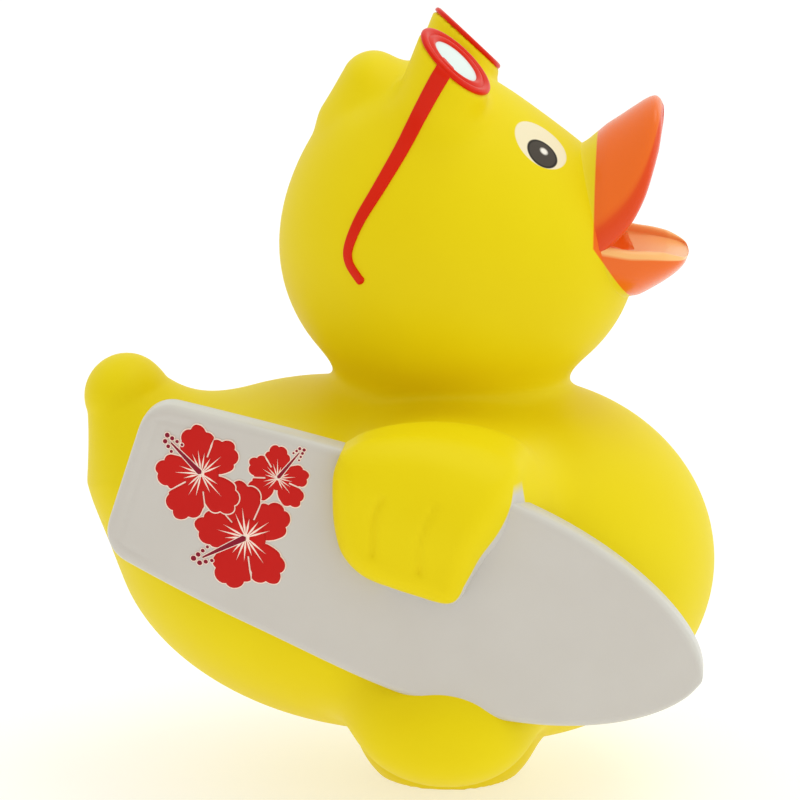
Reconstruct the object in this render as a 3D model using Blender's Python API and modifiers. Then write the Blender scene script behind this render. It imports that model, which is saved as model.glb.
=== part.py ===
"""Hollow vinyl toy duck that carries a surfboard under its right wing.

The duck is one moulding: trunk, tail, foot, head, tuft, glasses, open beak, wings and board. It is hollow,
with a vent hole in the foot, and a squeaker is pressed into that hole. The duck faces +X, its right side
is -Y and +Z is up. The origin is on the ground under the middle of its box.
"""

import math

import bmesh
import bpy
import numpy as np
from mathutils import Matrix, Vector
from mathutils.bvhtree import BVHTree

MM = 0.001

# Walls and fits
WALL = 2.2 * MM
SEAT_GAP = 0.3 * MM

# Trunk: overlapping ovals, the breast in front, the rump behind and the belly between them
TRUNK_HEIGHT = 25.2 * MM  # middle of the ovals above the ground
BREAST_X = 13.5 * MM
BREAST_LENGTH = 42.8 * MM
BREAST_WIDTH = 51.0 * MM
BREAST_DEPTH = 39.0 * MM
RUMP_X = -3.2 * MM
RUMP_LENGTH = 56.6 * MM
RUMP_WIDTH = 53.0 * MM
RUMP_DEPTH = 38.6 * MM
RUMP_LIFT = 7.0  # degrees by which its rear end rises
BELLY_X = 4.2 * MM
BELLY_LENGTH = 46.0 * MM
BELLY_WIDTH = 54.4 * MM
BELLY_DEPTH = 40.4 * MM

# Tail: a rounded cone that leaves the rump
TAIL_ROOT_X = -24.6 * MM
TAIL_ROOT_RISE = 8.4 * MM
TAIL_ROOT_RADIUS = 10.8 * MM
TAIL_TIP_X = -30.6 * MM
TAIL_TIP_RISE = 17.2 * MM
TAIL_TIP_RADIUS = 4.9 * MM
TAIL_BREADTH = 1.25  # times as wide as it is thick

# Foot: the flat-bottomed boss that the duck stands on
FOOT_X = 5.3 * MM
FOOT_RADIUS = 10.8 * MM
FOOT_RISE = 6.5 * MM
FOOT_DEPTH = 10.6 * MM

# Head: skull and cheeks overlap, and a tuft of feathers lies behind the glasses
SKULL_X = 3.0 * MM
SKULL_Z = 62.0 * MM
SKULL_LENGTH = 30.0 * MM
SKULL_WIDTH = 35.6 * MM
SKULL_DEPTH = 35.8 * MM
CHEEK_X = 6.4 * MM
CHEEK_Z = 59.1 * MM
CHEEK_LENGTH = 38.8 * MM
CHEEK_WIDTH = 34.0 * MM
CHEEK_DEPTH = 33.4 * MM
NECK_BORE = 8.5 * MM
TUFT_TOP_BACK = 5.9 * MM  # behind the middle of the skull
TUFT_TOP_RISE = 15.2 * MM
TUFT_TOP_RADIUS = 3.7 * MM
TUFT_END_BACK = 8.8 * MM
TUFT_END_RISE = 11.4 * MM
TUFT_END_RADIUS = 3.1 * MM
TUFT_BREADTH = 1.6

# Glasses, pushed up on the forehead
LENS_X = 6.45 * MM
LENS_SPREAD = 9.0 * MM  # from the middle plane to the middle of a lens
LENS_RISE = 1.3 * MM  # of a lens's middle above the top of the skull
LENS_PITCH = 41.0  # degrees from straight up towards the beak
LENS_YAW = 11.0
FRAME_RADIUS = 4.75 * MM
FRAME_BAR = 0.6 * MM  # half its thickness
FRAME_BAND = 1.8 * MM
LENS_THICKNESS = 1.0 * MM
POD_RADIUS = 4.7 * MM  # of the yellow boss behind each frame
POD_DEPTH = 4.4 * MM
BRIDGE_RADIUS = 0.9 * MM
ARM_RADIUS_FRONT = 1.0 * MM
ARM_RADIUS_BACK = 0.6 * MM
ARM_RELIEF = 0.55 * MM
# Run of a temple arm in side view: x from the middle of the skull, z from its top
ARM_RUN = ((3.0, 0.7), (0.6, -2.9), (-1.0, -5.5), (-2.3, -7.9), (-3.9, -10.5), (-5.3, -12.9), (-6.5, -15.1),
           (-7.2, -17.2), (-7.3, -19.1), (-6.8, -20.7), (-5.8, -21.9))

# Beak: each bill is a run of sections from its root to its tip, in side view from the front of the cheeks
BILL_WALL = 1.3 * MM
BILL_WIDTH = 17.0 * MM
UPPER_RIDGE = ((-7.5, 12.0), (-4.5, 13.6), (-2.2, 15.0), (-0.6, 16.1), (0.8, 17.0), (1.7, 17.3), (2.3, 17.0))
UPPER_LIP = ((-6.0, 2.0), (-2.2, 4.2), (-0.2, 6.0), (0.9, 8.4), (1.8, 11.2), (2.5, 14.4), (2.6, 16.4))
LOWER_KEEL = ((-5.0, -5.8), (-2.4, -5.4), (0.0, -4.4), (2.0, -3.3), (3.9, -2.0), (5.0, -0.9), (5.5, -0.1))
LOWER_RIM = ((-6.0, 2.2), (-3.0, 1.9), (-0.6, 1.4), (1.6, 1.1), (3.6, 0.8), (5.0, 0.5), (5.6, 0.2))
MOUTH_GAP = ((-3.9, 2.2), (-2.4, 4.0), (0.2, 7.0), (2.0, 13.0), (9.0, 13.0), (9.0, 1.2), (0.0, 1.2))
MOUTH_DEPTH = 4.8 * MM
MOUTH_WIDTH = 13.6 * MM
MOUTH_HEIGHT = 8.6 * MM

# Surfboard: flat sections along an axis that falls towards the nose
BOARD_LENGTH = 64.2 * MM
BOARD_WIDTH = 23.6 * MM
BOARD_TAIL_WIDTH = 17.4 * MM
BOARD_WIDEST = 36.0 * MM  # from its tail
BOARD_THICKNESS = 4.2 * MM
BOARD_EDGE = 1.0 * MM
BOARD_CORNER = 2.0 * MM
BOARD_TAIL_X = -26.8 * MM
BOARD_TAIL_Z = 40.2 * MM
BOARD_FALL = 18.3  # degrees
BOARD_STANDOFF = 3.0 * MM  # of its outer face from the widest part of the rump
BOARD_WRAP = 3.0 * MM  # by which its ends curve towards the trunk
CRADLE_LENGTH = 50.0 * MM
CRADLE_DEPTH = 17.0 * MM
CRADLE_SINK = 9.0 * MM

# Wings: the right one folds over the board, the left one lies on the trunk
WING_X = 5.3 * MM
WING_RISE = 11.8 * MM
WING_RELIEF = 4.0 * MM
WING_OUTLINE = ((-9.6, 2.0), (-9.0, 6.4), (-5.0, 8.4), (0.0, 8.3), (5.0, 6.6), (9.8, 3.4), (7.2, -0.6), (4.8, -4.6),
                (3.4, -8.4), (0.4, -8.4), (-4.4, -6.7), (-8.6, -3.2))
SHOULDER_LENGTH = 21.0 * MM
SHOULDER_DEPTH = 14.0 * MM
SHOULDER_REACH = 14.0 * MM
LEFT_WING_LENGTH = 33.0 * MM
LEFT_WING_DEPTH = 19.0 * MM
LEFT_WING_THICKNESS = 11.4 * MM
LEFT_WING_BACK = 4.0 * MM  # of its middle behind that of the right one
LEFT_WING_SINK = 3.2 * MM
LEFT_WING_PITCH = 14.0  # degrees
LEFT_WING_YAW = -4.0
SHOULDER_AHEAD = 1.0 * MM
SHOULDER_RISE = 1.2 * MM

# Squeaker in the foot
VENT_RADIUS = 4.5 * MM
SEAT_RADIUS = 5.3 * MM
SEAT_HEIGHT = 2.0 * MM
SEAT_START = 2.2 * MM
SQUEAKER_HEIGHT = 6.4 * MM
SQUEAKER_WALL = 1.0 * MM
SQUEAKER_HOLE = 1.2 * MM
REED_THICKNESS = 0.8 * MM
REED_HOLE = 0.9 * MM

# Fineness of the moulded skin
SKIN_GRAIN = 0.9 * MM
SKIN_SMOOTHING = 12
SKIN_SHARE = 0.07
CORE_GRAIN = 1.6 * MM
CORE_SHARE = 0.10

TRUNK_MIDDLE = Vector((0.0, 0.0, TRUNK_HEIGHT))
SKULL_MIDDLE = Vector((SKULL_X, 0.0, SKULL_Z))
CHEEK_MIDDLE = Vector((CHEEK_X, 0.0, CHEEK_Z))
BEAK_START = CHEEK_MIDDLE + Vector((CHEEK_LENGTH / 2, 0.0, 0.0))
BOARD_FACE = -RUMP_WIDTH / 2 - BOARD_STANDOFF


def clear_scene():
    """Removes whatever the scene holds."""
    for thing in list(bpy.data.objects):
        bpy.data.objects.remove(thing, do_unlink=True)


def material(name, colour, roughness):
    """A plain moulded or painted finish."""
    made = bpy.data.materials.new(name)
    made.use_nodes = True
    shader = made.node_tree.nodes["Principled BSDF"]
    shader.inputs["Base Color"].default_value = (*colour, 1.0)
    shader.inputs["Roughness"].default_value = roughness
    shader.inputs["Metallic"].default_value = 0.0
    return made


def place(mesh, name, collection):
    """A new object that holds the mesh."""
    thing = bpy.data.objects.new(name, mesh)
    collection.objects.link(thing)
    return thing


def turned(pitch=0.0, yaw=0.0):
    """Turn in degrees: pitch lifts the -X end, yaw turns about Z."""
    return Matrix.Rotation(math.radians(yaw), 4, "Z") @ Matrix.Rotation(math.radians(pitch), 4, "Y")


def oval(shape, middle, size, pitch=0.0, yaw=0.0, rings=24):
    """Adds an ellipsoid of the full size given to the shape."""
    scale = Matrix.Diagonal((size[0] / 2, size[1] / 2, size[2] / 2, 1.0))
    matrix = Matrix.Translation(middle) @ turned(pitch, yaw) @ scale
    bmesh.ops.create_uvsphere(shape, u_segments=rings * 2, v_segments=rings, radius=1.0, matrix=matrix)


def round_cone(shape, ends, breadth):
    """Adds the hull of two balls, each given by its x, its height and its radius, wider than thick by breadth."""
    cone = bmesh.new()
    wide = Matrix.Diagonal((1.0, breadth, 1.0, 1.0))
    for x, z, radius in ends:
        matrix = Matrix.Translation((x, 0.0, z)) @ wide
        bmesh.ops.create_uvsphere(cone, u_segments=24, v_segments=16, radius=radius, matrix=matrix)
    bmesh.ops.convex_hull(cone, input=cone.verts)
    bmesh.ops.delete(cone, geom=[v for v in cone.verts if not v.link_faces], context="VERTS")
    mesh = bpy.data.meshes.new("round_cone")
    cone.to_mesh(mesh)
    cone.free()
    shape.from_mesh(mesh)
    bpy.data.meshes.remove(mesh)


def evaluated_mesh(thing):
    """The object's mesh with its modifiers applied."""
    graph = bpy.context.evaluated_depsgraph_get()
    return bpy.data.meshes.new_from_object(thing.evaluated_get(graph))


def moulded(name, shape, grain, smoothing, share, collection):
    """Melts overlapping forms into one skin: a fine remesh, smoothing that fills the creases, then thinning."""
    mesh = bpy.data.meshes.new(name)
    shape.to_mesh(mesh)
    shape.free()
    thing = place(mesh, name, collection)
    remesh = thing.modifiers.new("one_skin", "REMESH")
    remesh.mode = "VOXEL"
    remesh.voxel_size = grain
    smooth = thing.modifiers.new("soft_creases", "SMOOTH")
    smooth.factor = 0.5
    smooth.iterations = round(smoothing)
    thin = thing.modifiers.new("fewer_faces", "DECIMATE")
    thin.ratio = share
    thing.data = evaluated_mesh(thing)
    thing.modifiers.clear()
    return thing


def combine(thing, other, operation):
    """Boolean with another object, which is then removed."""
    step = thing.modifiers.new("combine", "BOOLEAN")
    step.operation = operation
    step.solver = "EXACT"
    step.object = other
    thing.data = evaluated_mesh(thing)
    thing.modifiers.clear()
    bpy.data.objects.remove(other, do_unlink=True)


def outer_skin(collection):
    """The yellow body with every soft form in it, flat under the foot."""
    shape = bmesh.new()
    oval(shape, TRUNK_MIDDLE + Vector((BREAST_X, 0, 0)), (BREAST_LENGTH, BREAST_WIDTH, BREAST_DEPTH))
    oval(shape, TRUNK_MIDDLE + Vector((RUMP_X, 0, 0)), (RUMP_LENGTH, RUMP_WIDTH, RUMP_DEPTH), pitch=RUMP_LIFT)
    oval(shape, TRUNK_MIDDLE + Vector((BELLY_X, 0, 0)), (BELLY_LENGTH, BELLY_WIDTH, BELLY_DEPTH))
    tail = ((TAIL_ROOT_X, TRUNK_HEIGHT + TAIL_ROOT_RISE, TAIL_ROOT_RADIUS),
            (TAIL_TIP_X, TRUNK_HEIGHT + TAIL_TIP_RISE, TAIL_TIP_RADIUS))
    round_cone(shape, tail, TAIL_BREADTH)
    oval(shape, (FOOT_X, 0, FOOT_RISE), (FOOT_RADIUS * 2, FOOT_RADIUS * 2, FOOT_DEPTH * 2))
    oval(shape, SKULL_MIDDLE, (SKULL_LENGTH, SKULL_WIDTH, SKULL_DEPTH))
    oval(shape, CHEEK_MIDDLE, (CHEEK_LENGTH, CHEEK_WIDTH, CHEEK_DEPTH))
    tuft = ((SKULL_X - TUFT_TOP_BACK, SKULL_Z + TUFT_TOP_RISE, TUFT_TOP_RADIUS),
            (SKULL_X - TUFT_END_BACK, SKULL_Z + TUFT_END_RISE, TUFT_END_RADIUS))
    round_cone(shape, tuft, TUFT_BREADTH)
    for side in (-1, 1):
        turn, middle = lens_place(side)
        behind = middle - turn @ Vector((0, 0, FRAME_BAR * 0.6 + POD_DEPTH / 2))
        bmesh.ops.create_cone(shape, cap_ends=True, segments=32, radius1=POD_RADIUS, radius2=POD_RADIUS,
                              depth=POD_DEPTH, matrix=Matrix.Translation(behind) @ turn.to_4x4())
        root = behind - turn @ Vector((0, 0, POD_DEPTH * 0.9))
        oval(shape, root, (POD_RADIUS * 2.1, POD_RADIUS * 2.1, POD_DEPTH * 1.9), pitch=LENS_PITCH, rings=12)
    slope = turned(BOARD_FALL)
    cradle = board_point(BOARD_LENGTH * 0.46, 0.0, 0.0) + Vector((0, CRADLE_SINK + BOARD_THICKNESS, 0))
    oval(shape, cradle, (CRADLE_LENGTH, CRADLE_SINK * 2, CRADLE_DEPTH), pitch=BOARD_FALL)
    shoulder = wing_middle() + slope @ Vector((SHOULDER_AHEAD, SHOULDER_REACH, SHOULDER_RISE))
    oval(shape, shoulder, (SHOULDER_LENGTH, SHOULDER_REACH * 2, SHOULDER_DEPTH))
    left = Vector((WING_X - LEFT_WING_BACK, RUMP_WIDTH / 2 - LEFT_WING_SINK, TRUNK_HEIGHT + WING_RISE / 3))
    size = (LEFT_WING_LENGTH, LEFT_WING_THICKNESS, LEFT_WING_DEPTH)
    oval(shape, left, size, pitch=LEFT_WING_PITCH, yaw=LEFT_WING_YAW, rings=16)
    skin = moulded("duck_body", shape, SKIN_GRAIN, SKIN_SMOOTHING, SKIN_SHARE, collection)
    span = 2 * (RUMP_LENGTH + BREAST_LENGTH)
    below = box_cutter("ground_cutter", (0, 0, -span / 2), (span, span, span), collection)
    combine(skin, below, "DIFFERENCE")
    return skin


def box_cutter(name, middle, size, collection):
    """A plain block to cut with."""
    block = bmesh.new()
    bmesh.ops.create_cube(block, size=1.0, matrix=Matrix.Translation(middle) @ Matrix.Diagonal((*size, 1.0)))
    mesh = bpy.data.meshes.new(name)
    block.to_mesh(mesh)
    block.free()
    return place(mesh, name, collection)


def inner_core(collection):
    """The hollow: the large forms, each smaller by the wall, joined through the neck."""
    shape = bmesh.new()
    inset = 2 * WALL
    sizes = (
        (TRUNK_MIDDLE + Vector((BREAST_X, 0, 0)), (BREAST_LENGTH, BREAST_WIDTH, BREAST_DEPTH), 0.0),
        (TRUNK_MIDDLE + Vector((RUMP_X, 0, 0)), (RUMP_LENGTH, RUMP_WIDTH, RUMP_DEPTH), RUMP_LIFT),
        (TRUNK_MIDDLE + Vector((BELLY_X, 0, 0)), (BELLY_LENGTH, BELLY_WIDTH, BELLY_DEPTH), 0.0),
        (SKULL_MIDDLE, (SKULL_LENGTH, SKULL_WIDTH, SKULL_DEPTH), 0.0),
        (CHEEK_MIDDLE, (CHEEK_LENGTH - 2 * MOUTH_DEPTH, CHEEK_WIDTH, CHEEK_DEPTH), 0.0),
    )
    for middle, size, pitch in sizes:
        oval(shape, middle, [side - inset for side in size], pitch=pitch)
    neck_bottom = TRUNK_HEIGHT + RUMP_DEPTH / 4
    neck_length = CHEEK_Z - neck_bottom
    neck = Vector((CHEEK_X, 0.0, neck_bottom + neck_length / 2))
    oval(shape, neck, (NECK_BORE * 2, NECK_BORE * 2, neck_length * 1.2), rings=12)
    return moulded("core_cutter", shape, CORE_GRAIN, 4, CORE_SHARE, collection)


def smooth_run(points, count):
    """Points spaced along a smooth curve through the given side-view points (x, z), ends included."""
    run = np.array(points, float)
    ends = np.vstack([2 * run[0] - run[1], run, 2 * run[-1] - run[-2]])
    t = np.linspace(0.0, len(run) - 1.0, count)
    i = np.minimum(t.astype(int), len(run) - 2)
    f = (t - i)[:, None]
    a, b, c, d = ends[i], ends[i + 1], ends[i + 2], ends[i + 3]
    return 0.5 * (2 * b + (c - a) * f + (2 * a - 5 * b + 4 * c - d) * f**2 + (3 * b - a - 3 * c + d) * f**3)


def bill(name, crown, edge, collection, stations=13, around=9):
    """A bill as a loft of crescent sections: an outer arc over the crown line and an inner arc, joined at the edge.

    The crown is the ridge or keel on the middle plane, and the edge is the lip or rim at both sides.
    """
    crown_run, edge_run = smooth_run(crown, stations) * MM, smooth_run(edge, stations) * MM
    along = np.linspace(0.0, 1.0, stations)
    half = BILL_WIDTH / 2 * (1.0 + 0.2 * (1 - along) ** 2) * np.sqrt(np.clip(1.0 - along**3.2, 0.0012, 1.0))
    outer = np.linspace(0.0, math.pi, around)
    inner = outer[::-1]
    shape = bmesh.new()
    rings = []
    for (cx, cz), (ex, ez), w in zip(crown_run, edge_run, half):
        depth = math.hypot(cx - ex, cz - ez)
        thin_w = max(w - BILL_WALL, 0.8 * w)
        thin_h = max(1.0 - 1.5 * BILL_WALL / max(depth, 1e-6), 0.15)
        ring = []
        for angles, wide, high in ((outer, w, 1.0), (inner, thin_w, thin_h)):
            for angle in angles:
                rise = high * math.sin(angle)
                point = Vector((ex + (cx - ex) * rise, -wide * math.cos(angle), ez + (cz - ez) * rise))
                ring.append(shape.verts.new(BEAK_START + point))
        rings.append(ring)
    count = len(rings[0])
    for first, second in zip(rings, rings[1:]):
        for k in range(count):
            n = (k + 1) % count
            shape.faces.new((first[k], first[n], second[n], second[k]))
    for ring in (rings[0], rings[-1]):
        for k in range(around - 1):
            pair = (ring[k], ring[k + 1], ring[count - 2 - k], ring[count - 1 - k])
            shape.faces.new(pair)
    bmesh.ops.recalc_face_normals(shape, faces=shape.faces)
    mesh = bpy.data.meshes.new(name)
    shape.to_mesh(mesh)
    shape.free()
    return place(mesh, name, collection)


def mouth_cutter(collection):
    """The throat, an oval hollow behind the bills."""
    shape = bmesh.new()
    middle = BEAK_START + Vector((0.4 * MM, 0.0, 3.4 * MM))
    oval(shape, middle, (MOUTH_DEPTH * 2, MOUTH_WIDTH, MOUTH_HEIGHT), rings=12)
    mesh = bpy.data.meshes.new("mouth_cutter")
    shape.to_mesh(mesh)
    shape.free()
    return place(mesh, "mouth_cutter", collection)


def gap_cutter(collection):
    """The wedge between the bills, in side view, pushed through the whole width of the beak."""
    shape = bmesh.new()
    corners = [BEAK_START + Vector((x * MM, -BILL_WIDTH, z * MM)) for x, z in MOUTH_GAP]
    side = shape.faces.new([shape.verts.new(corner) for corner in corners])
    pushed = bmesh.ops.extrude_face_region(shape, geom=[side])["geom"]
    moved = [item for item in pushed if isinstance(item, bmesh.types.BMVert)]
    bmesh.ops.translate(shape, verts=moved, vec=(0.0, 2 * BILL_WIDTH, 0.0))
    bmesh.ops.recalc_face_normals(shape, faces=shape.faces)
    mesh = bpy.data.meshes.new("gap_cutter")
    shape.to_mesh(mesh)
    shape.free()
    return place(mesh, "gap_cutter", collection)


def board_half_width(u):
    """Half the board's width at a distance from its tail, with round tail corners and an oval nose."""
    wide, tail = BOARD_WIDTH / 2, BOARD_TAIL_WIDTH / 2
    behind = wide - (wide - tail) * np.clip((BOARD_WIDEST - u) / BOARD_WIDEST, 0, 1) ** 1.8
    ahead = np.clip((u - BOARD_WIDEST) / (BOARD_LENGTH - BOARD_WIDEST), 0, 1)
    corner = BOARD_CORNER - np.sqrt(np.clip(BOARD_CORNER**2 - np.clip(BOARD_CORNER - u, 0, None) ** 2, 0, None))
    return behind * (1 - ahead**2) ** 0.6 - corner


def board_point(u, v, depth):
    """A point of the board: u from its tail towards its nose, v up across it, depth inwards from its face."""
    fall = math.radians(BOARD_FALL)
    x = BOARD_TAIL_X + u * math.cos(fall) + v * math.sin(fall)
    z = BOARD_TAIL_Z - u * math.sin(fall) + v * math.cos(fall)
    wrap = BOARD_WRAP * ((u - BOARD_LENGTH / 2) / (BOARD_LENGTH / 2)) ** 2
    return Vector((x, BOARD_FACE + depth + wrap, z))


def surfboard(collection):
    """The board: a grid shaped to its outline and wrap, thickened inwards, with rounded edges."""
    columns, rows = 22, 4
    shape = bmesh.new()
    bmesh.ops.create_grid(shape, x_segments=columns, y_segments=rows, size=0.5)
    for vert in shape.verts:
        u = BOARD_LENGTH * (1 - math.cos((vert.co.x + 0.5) * math.pi)) / 2
        vert.co = board_point(u, vert.co.y * 2 * float(board_half_width(u)), 0.0)
    bmesh.ops.remove_doubles(shape, verts=shape.verts, dist=0.05 * MM)
    bmesh.ops.recalc_face_normals(shape, faces=shape.faces)
    if sum((face.normal * face.calc_area() for face in shape.faces), Vector()).y > 0:
        bmesh.ops.reverse_faces(shape, faces=shape.faces)
    mesh = bpy.data.meshes.new("surfboard")
    shape.to_mesh(mesh)
    shape.free()
    board = place(mesh, "surfboard", collection)
    wall = board.modifiers.new("thickness", "SOLIDIFY")
    wall.thickness = BOARD_THICKNESS
    wall.offset = -1.0
    edge = board.modifiers.new("round_edge", "BEVEL")
    edge.width = BOARD_EDGE
    edge.segments = 2
    edge.limit_method = "ANGLE"
    edge.angle_limit = math.radians(60)
    board.data = evaluated_mesh(board)
    board.modifiers.clear()
    return board


def wing_middle():
    """The middle of the right wing, on the board's face."""
    return Vector((WING_X, BOARD_FACE, TRUNK_HEIGHT + WING_RISE))


def right_wing(collection):
    """The wing that folds over the board: a cage over its outline, made soft by subdivision."""
    middle = wing_middle()
    shape = bmesh.new()
    levels = ((1.0, BOARD_THICKNESS + 2 * MM), (1.04, 0.0), (1.02, -WING_RELIEF * 0.75), (0.72, -WING_RELIEF * 1.12))
    rings = []
    for share, depth in levels:
        rings.append([shape.verts.new(middle + Vector((x * share * MM, depth, z * share * MM))) for x, z in WING_OUTLINE])
    count = len(WING_OUTLINE)
    for first, second in zip(rings, rings[1:]):
        for k in range(count):
            n = (k + 1) % count
            shape.faces.new((first[k], first[n], second[n], second[k]))
    shape.faces.new(rings[0])
    shape.faces.new(rings[-1])
    bmesh.ops.recalc_face_normals(shape, faces=shape.faces)
    mesh = bpy.data.meshes.new("right_wing")
    shape.to_mesh(mesh)
    shape.free()
    wing = place(mesh, "right_wing", collection)
    soft = wing.modifiers.new("soft", "SUBSURF")
    soft.levels = soft.render_levels = 2
    wing.data = evaluated_mesh(wing)
    wing.modifiers.clear()
    return wing


def lens_place(side):
    """The turn of a lens and its middle. Its own Z axis points out of the lens."""
    turn = (Matrix.Rotation(math.radians(side * LENS_YAW), 4, "Z") @ turned(LENS_PITCH)).to_3x3()
    return turn, Vector((LENS_X, side * LENS_SPREAD, SKULL_Z + SKULL_DEPTH / 2 + LENS_RISE))


def glasses_frame(side, collection):
    """A round frame with its lens: a ring and a disc in it, as one solid."""
    turn, middle = lens_place(side)
    ring = bmesh.new()
    bmesh.ops.create_cone(ring, cap_ends=True, segments=24, radius1=FRAME_RADIUS, radius2=FRAME_RADIUS,
                          depth=FRAME_BAR * 2, matrix=Matrix.Translation(middle) @ turn.to_4x4())
    mesh = bpy.data.meshes.new("frame")
    ring.to_mesh(mesh)
    ring.free()
    frame = place(mesh, "frame", collection)
    edge = frame.modifiers.new("round_edge", "BEVEL")
    edge.width = FRAME_BAR * 0.8
    edge.segments = 2
    edge.limit_method = "ANGLE"
    edge.angle_limit = math.radians(60)
    frame.data = evaluated_mesh(frame)
    frame.modifiers.clear()
    well = bmesh.new()
    well_middle = middle + turn @ Vector((0, 0, LENS_THICKNESS + FRAME_BAR * 0.35))
    bmesh.ops.create_cone(well, cap_ends=True, segments=24, radius1=FRAME_RADIUS - FRAME_BAND,
                          radius2=FRAME_RADIUS - FRAME_BAND * 0.92, depth=LENS_THICKNESS * 2,
                          matrix=Matrix.Translation(well_middle) @ turn.to_4x4())
    mesh = bpy.data.meshes.new("well_cutter")
    well.to_mesh(mesh)
    well.free()
    combine(frame, place(mesh, "well_cutter", collection), "DIFFERENCE")
    return frame


def tube(name, points, radii, collection, resolution=2):
    """A bar along points with its own radius at each, closed at both ends."""
    curve = bpy.data.curves.new(name, "CURVE")
    curve.dimensions = "3D"
    curve.bevel_depth = 1.0
    curve.bevel_resolution = resolution
    curve.use_fill_caps = True
    spline = curve.splines.new("POLY")
    spline.points.add(len(points) - 1)
    for knot, point, radius in zip(spline.points, points, radii):
        knot.co = (*point, 1.0)
        knot.radius = radius
    thing = place(curve, name, collection)
    mesh = evaluated_mesh(thing)
    welded = bmesh.new()
    welded.from_mesh(mesh)
    bmesh.ops.remove_doubles(welded, verts=welded.verts, dist=0.001 * MM)
    bmesh.ops.recalc_face_normals(welded, faces=welded.faces)
    welded.to_mesh(mesh)
    welded.free()
    solid = place(mesh, name + "_solid", collection)
    bpy.data.objects.remove(thing, do_unlink=True)
    return solid


def temple_arm(side, skin_tree, collection):
    """A glasses arm in low relief: its side-view run is dropped sideways onto the head."""
    count = 16
    run = smooth_run(ARM_RUN, count) * MM
    points = []
    for x, z in run:
        start = Vector((SKULL_X + x, side * SKULL_WIDTH, SKULL_Z + SKULL_DEPTH / 2 + z))
        hit, normal, _, _ = skin_tree.ray_cast(start, Vector((0, -side, 0)))
        points.append(hit + normal * (ARM_RELIEF - ARM_RADIUS_FRONT))
    radii = np.linspace(ARM_RADIUS_FRONT, ARM_RADIUS_BACK, count)
    return tube("arm", points, radii, collection)


def lathe(name, profile, collection, segments=24):
    """A turned solid about the foot's axis, from (radius, height) points down its outer side and back inside."""
    shape = bmesh.new()
    verts = [shape.verts.new((radius, 0.0, height)) for radius, height in profile]
    for first, second in zip(verts, verts[1:] + verts[:1]):
        shape.edges.new((first, second))
    mesh = bpy.data.meshes.new(name)
    shape.to_mesh(mesh)
    shape.free()
    thing = place(mesh, name, collection)
    screw = thing.modifiers.new("turn", "SCREW")
    screw.steps = screw.render_steps = segments
    screw.use_merge_vertices = True
    screw.merge_threshold = 0.00001
    thing.data = evaluated_mesh(thing)
    thing.modifiers.clear()
    thing.data.transform(Matrix.Translation((FOOT_X, 0.0, 0.0)))
    return thing


def vent_profile(clearance, low, high):
    """Outer profile of what fills the vent hole, smaller by the clearance, from its top down."""
    neck, groove = VENT_RADIUS - clearance, SEAT_RADIUS - clearance
    groove_low, groove_high = SEAT_START + clearance, SEAT_START + SEAT_HEIGHT - clearance
    return [(neck, high), (neck, groove_high), (groove, groove_high), (groove, groove_low), (neck, groove_low), (neck, low)]


def vent_cutter(collection):
    """The vent hole with the groove that the squeaker snaps into, up into the hollow."""
    top = TRUNK_HEIGHT - BREAST_DEPTH / 4
    outline = vent_profile(0.0, -1.0 * MM, top)
    return lathe("vent_cutter", [(0.0, top), *outline, (0.0, -1.0 * MM)], collection)


def squeaker(collection):
    """The pressed-in squeaker: a cup with an air hole, and the reed disc that lies in it."""
    low, high = 0.4 * MM, 0.4 * MM + SQUEAKER_HEIGHT
    bore = VENT_RADIUS - SEAT_GAP - SQUEAKER_WALL
    floor = low + SQUEAKER_WALL
    outline = vent_profile(SEAT_GAP, low, high)
    cup = [*outline, (SQUEAKER_HOLE, low), (SQUEAKER_HOLE, floor), (bore, floor), (bore, high)]
    housing = lathe("squeaker_housing", cup, collection)
    reed_low = floor + SEAT_GAP
    reed_high = reed_low + REED_THICKNESS
    rim = bore - SEAT_GAP
    ring = [(rim, reed_high), (rim, reed_low), (REED_HOLE, reed_low), (REED_HOLE, reed_high)]
    reed = lathe("squeaker_reed", ring, collection)
    return housing, reed


def duck(parts, cutters):
    """Builds the moulding: skin and mouth, then the crisp forms, then the hollow and the vent."""
    body = outer_skin(parts)
    tree = BVHTree.FromPolygons([v.co for v in body.data.vertices], [p.vertices for p in body.data.polygons])
    arms = [temple_arm(side, tree, cutters) for side in (-1, 1)]
    combine(body, gap_cutter(cutters), "DIFFERENCE")
    combine(body, mouth_cutter(cutters), "DIFFERENCE")
    added = [
        bill("upper_bill", UPPER_RIDGE, UPPER_LIP, cutters),
        bill("lower_bill", LOWER_KEEL, LOWER_RIM, cutters),
        surfboard(cutters),
        right_wing(cutters),
        glasses_frame(-1, cutters),
        glasses_frame(1, cutters),
        *arms,
    ]
    bridge_ends = [lens_place(side)[1] + Vector((0.0, -side * FRAME_RADIUS * 0.7, -LENS_RISE / 2)) for side in (-1, 1)]
    added.append(tube("bridge", bridge_ends, [BRIDGE_RADIUS] * 2, cutters))
    for piece in added:
        combine(body, piece, "UNION")
    combine(body, inner_core(cutters), "DIFFERENCE")
    combine(body, vent_cutter(cutters), "DIFFERENCE")
    return body


def centre(things):
    """Moves the meshes so that the origin is on the ground under the middle of their common box."""
    points = np.array([vert.co for thing in things for vert in thing.data.vertices])
    low, high = points.min(axis=0), points.max(axis=0)
    shift = Vector((-(low[0] + high[0]) / 2, -(low[1] + high[1]) / 2, -low[2]))
    for thing in things:
        thing.data.transform(Matrix.Translation(shift))


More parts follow.
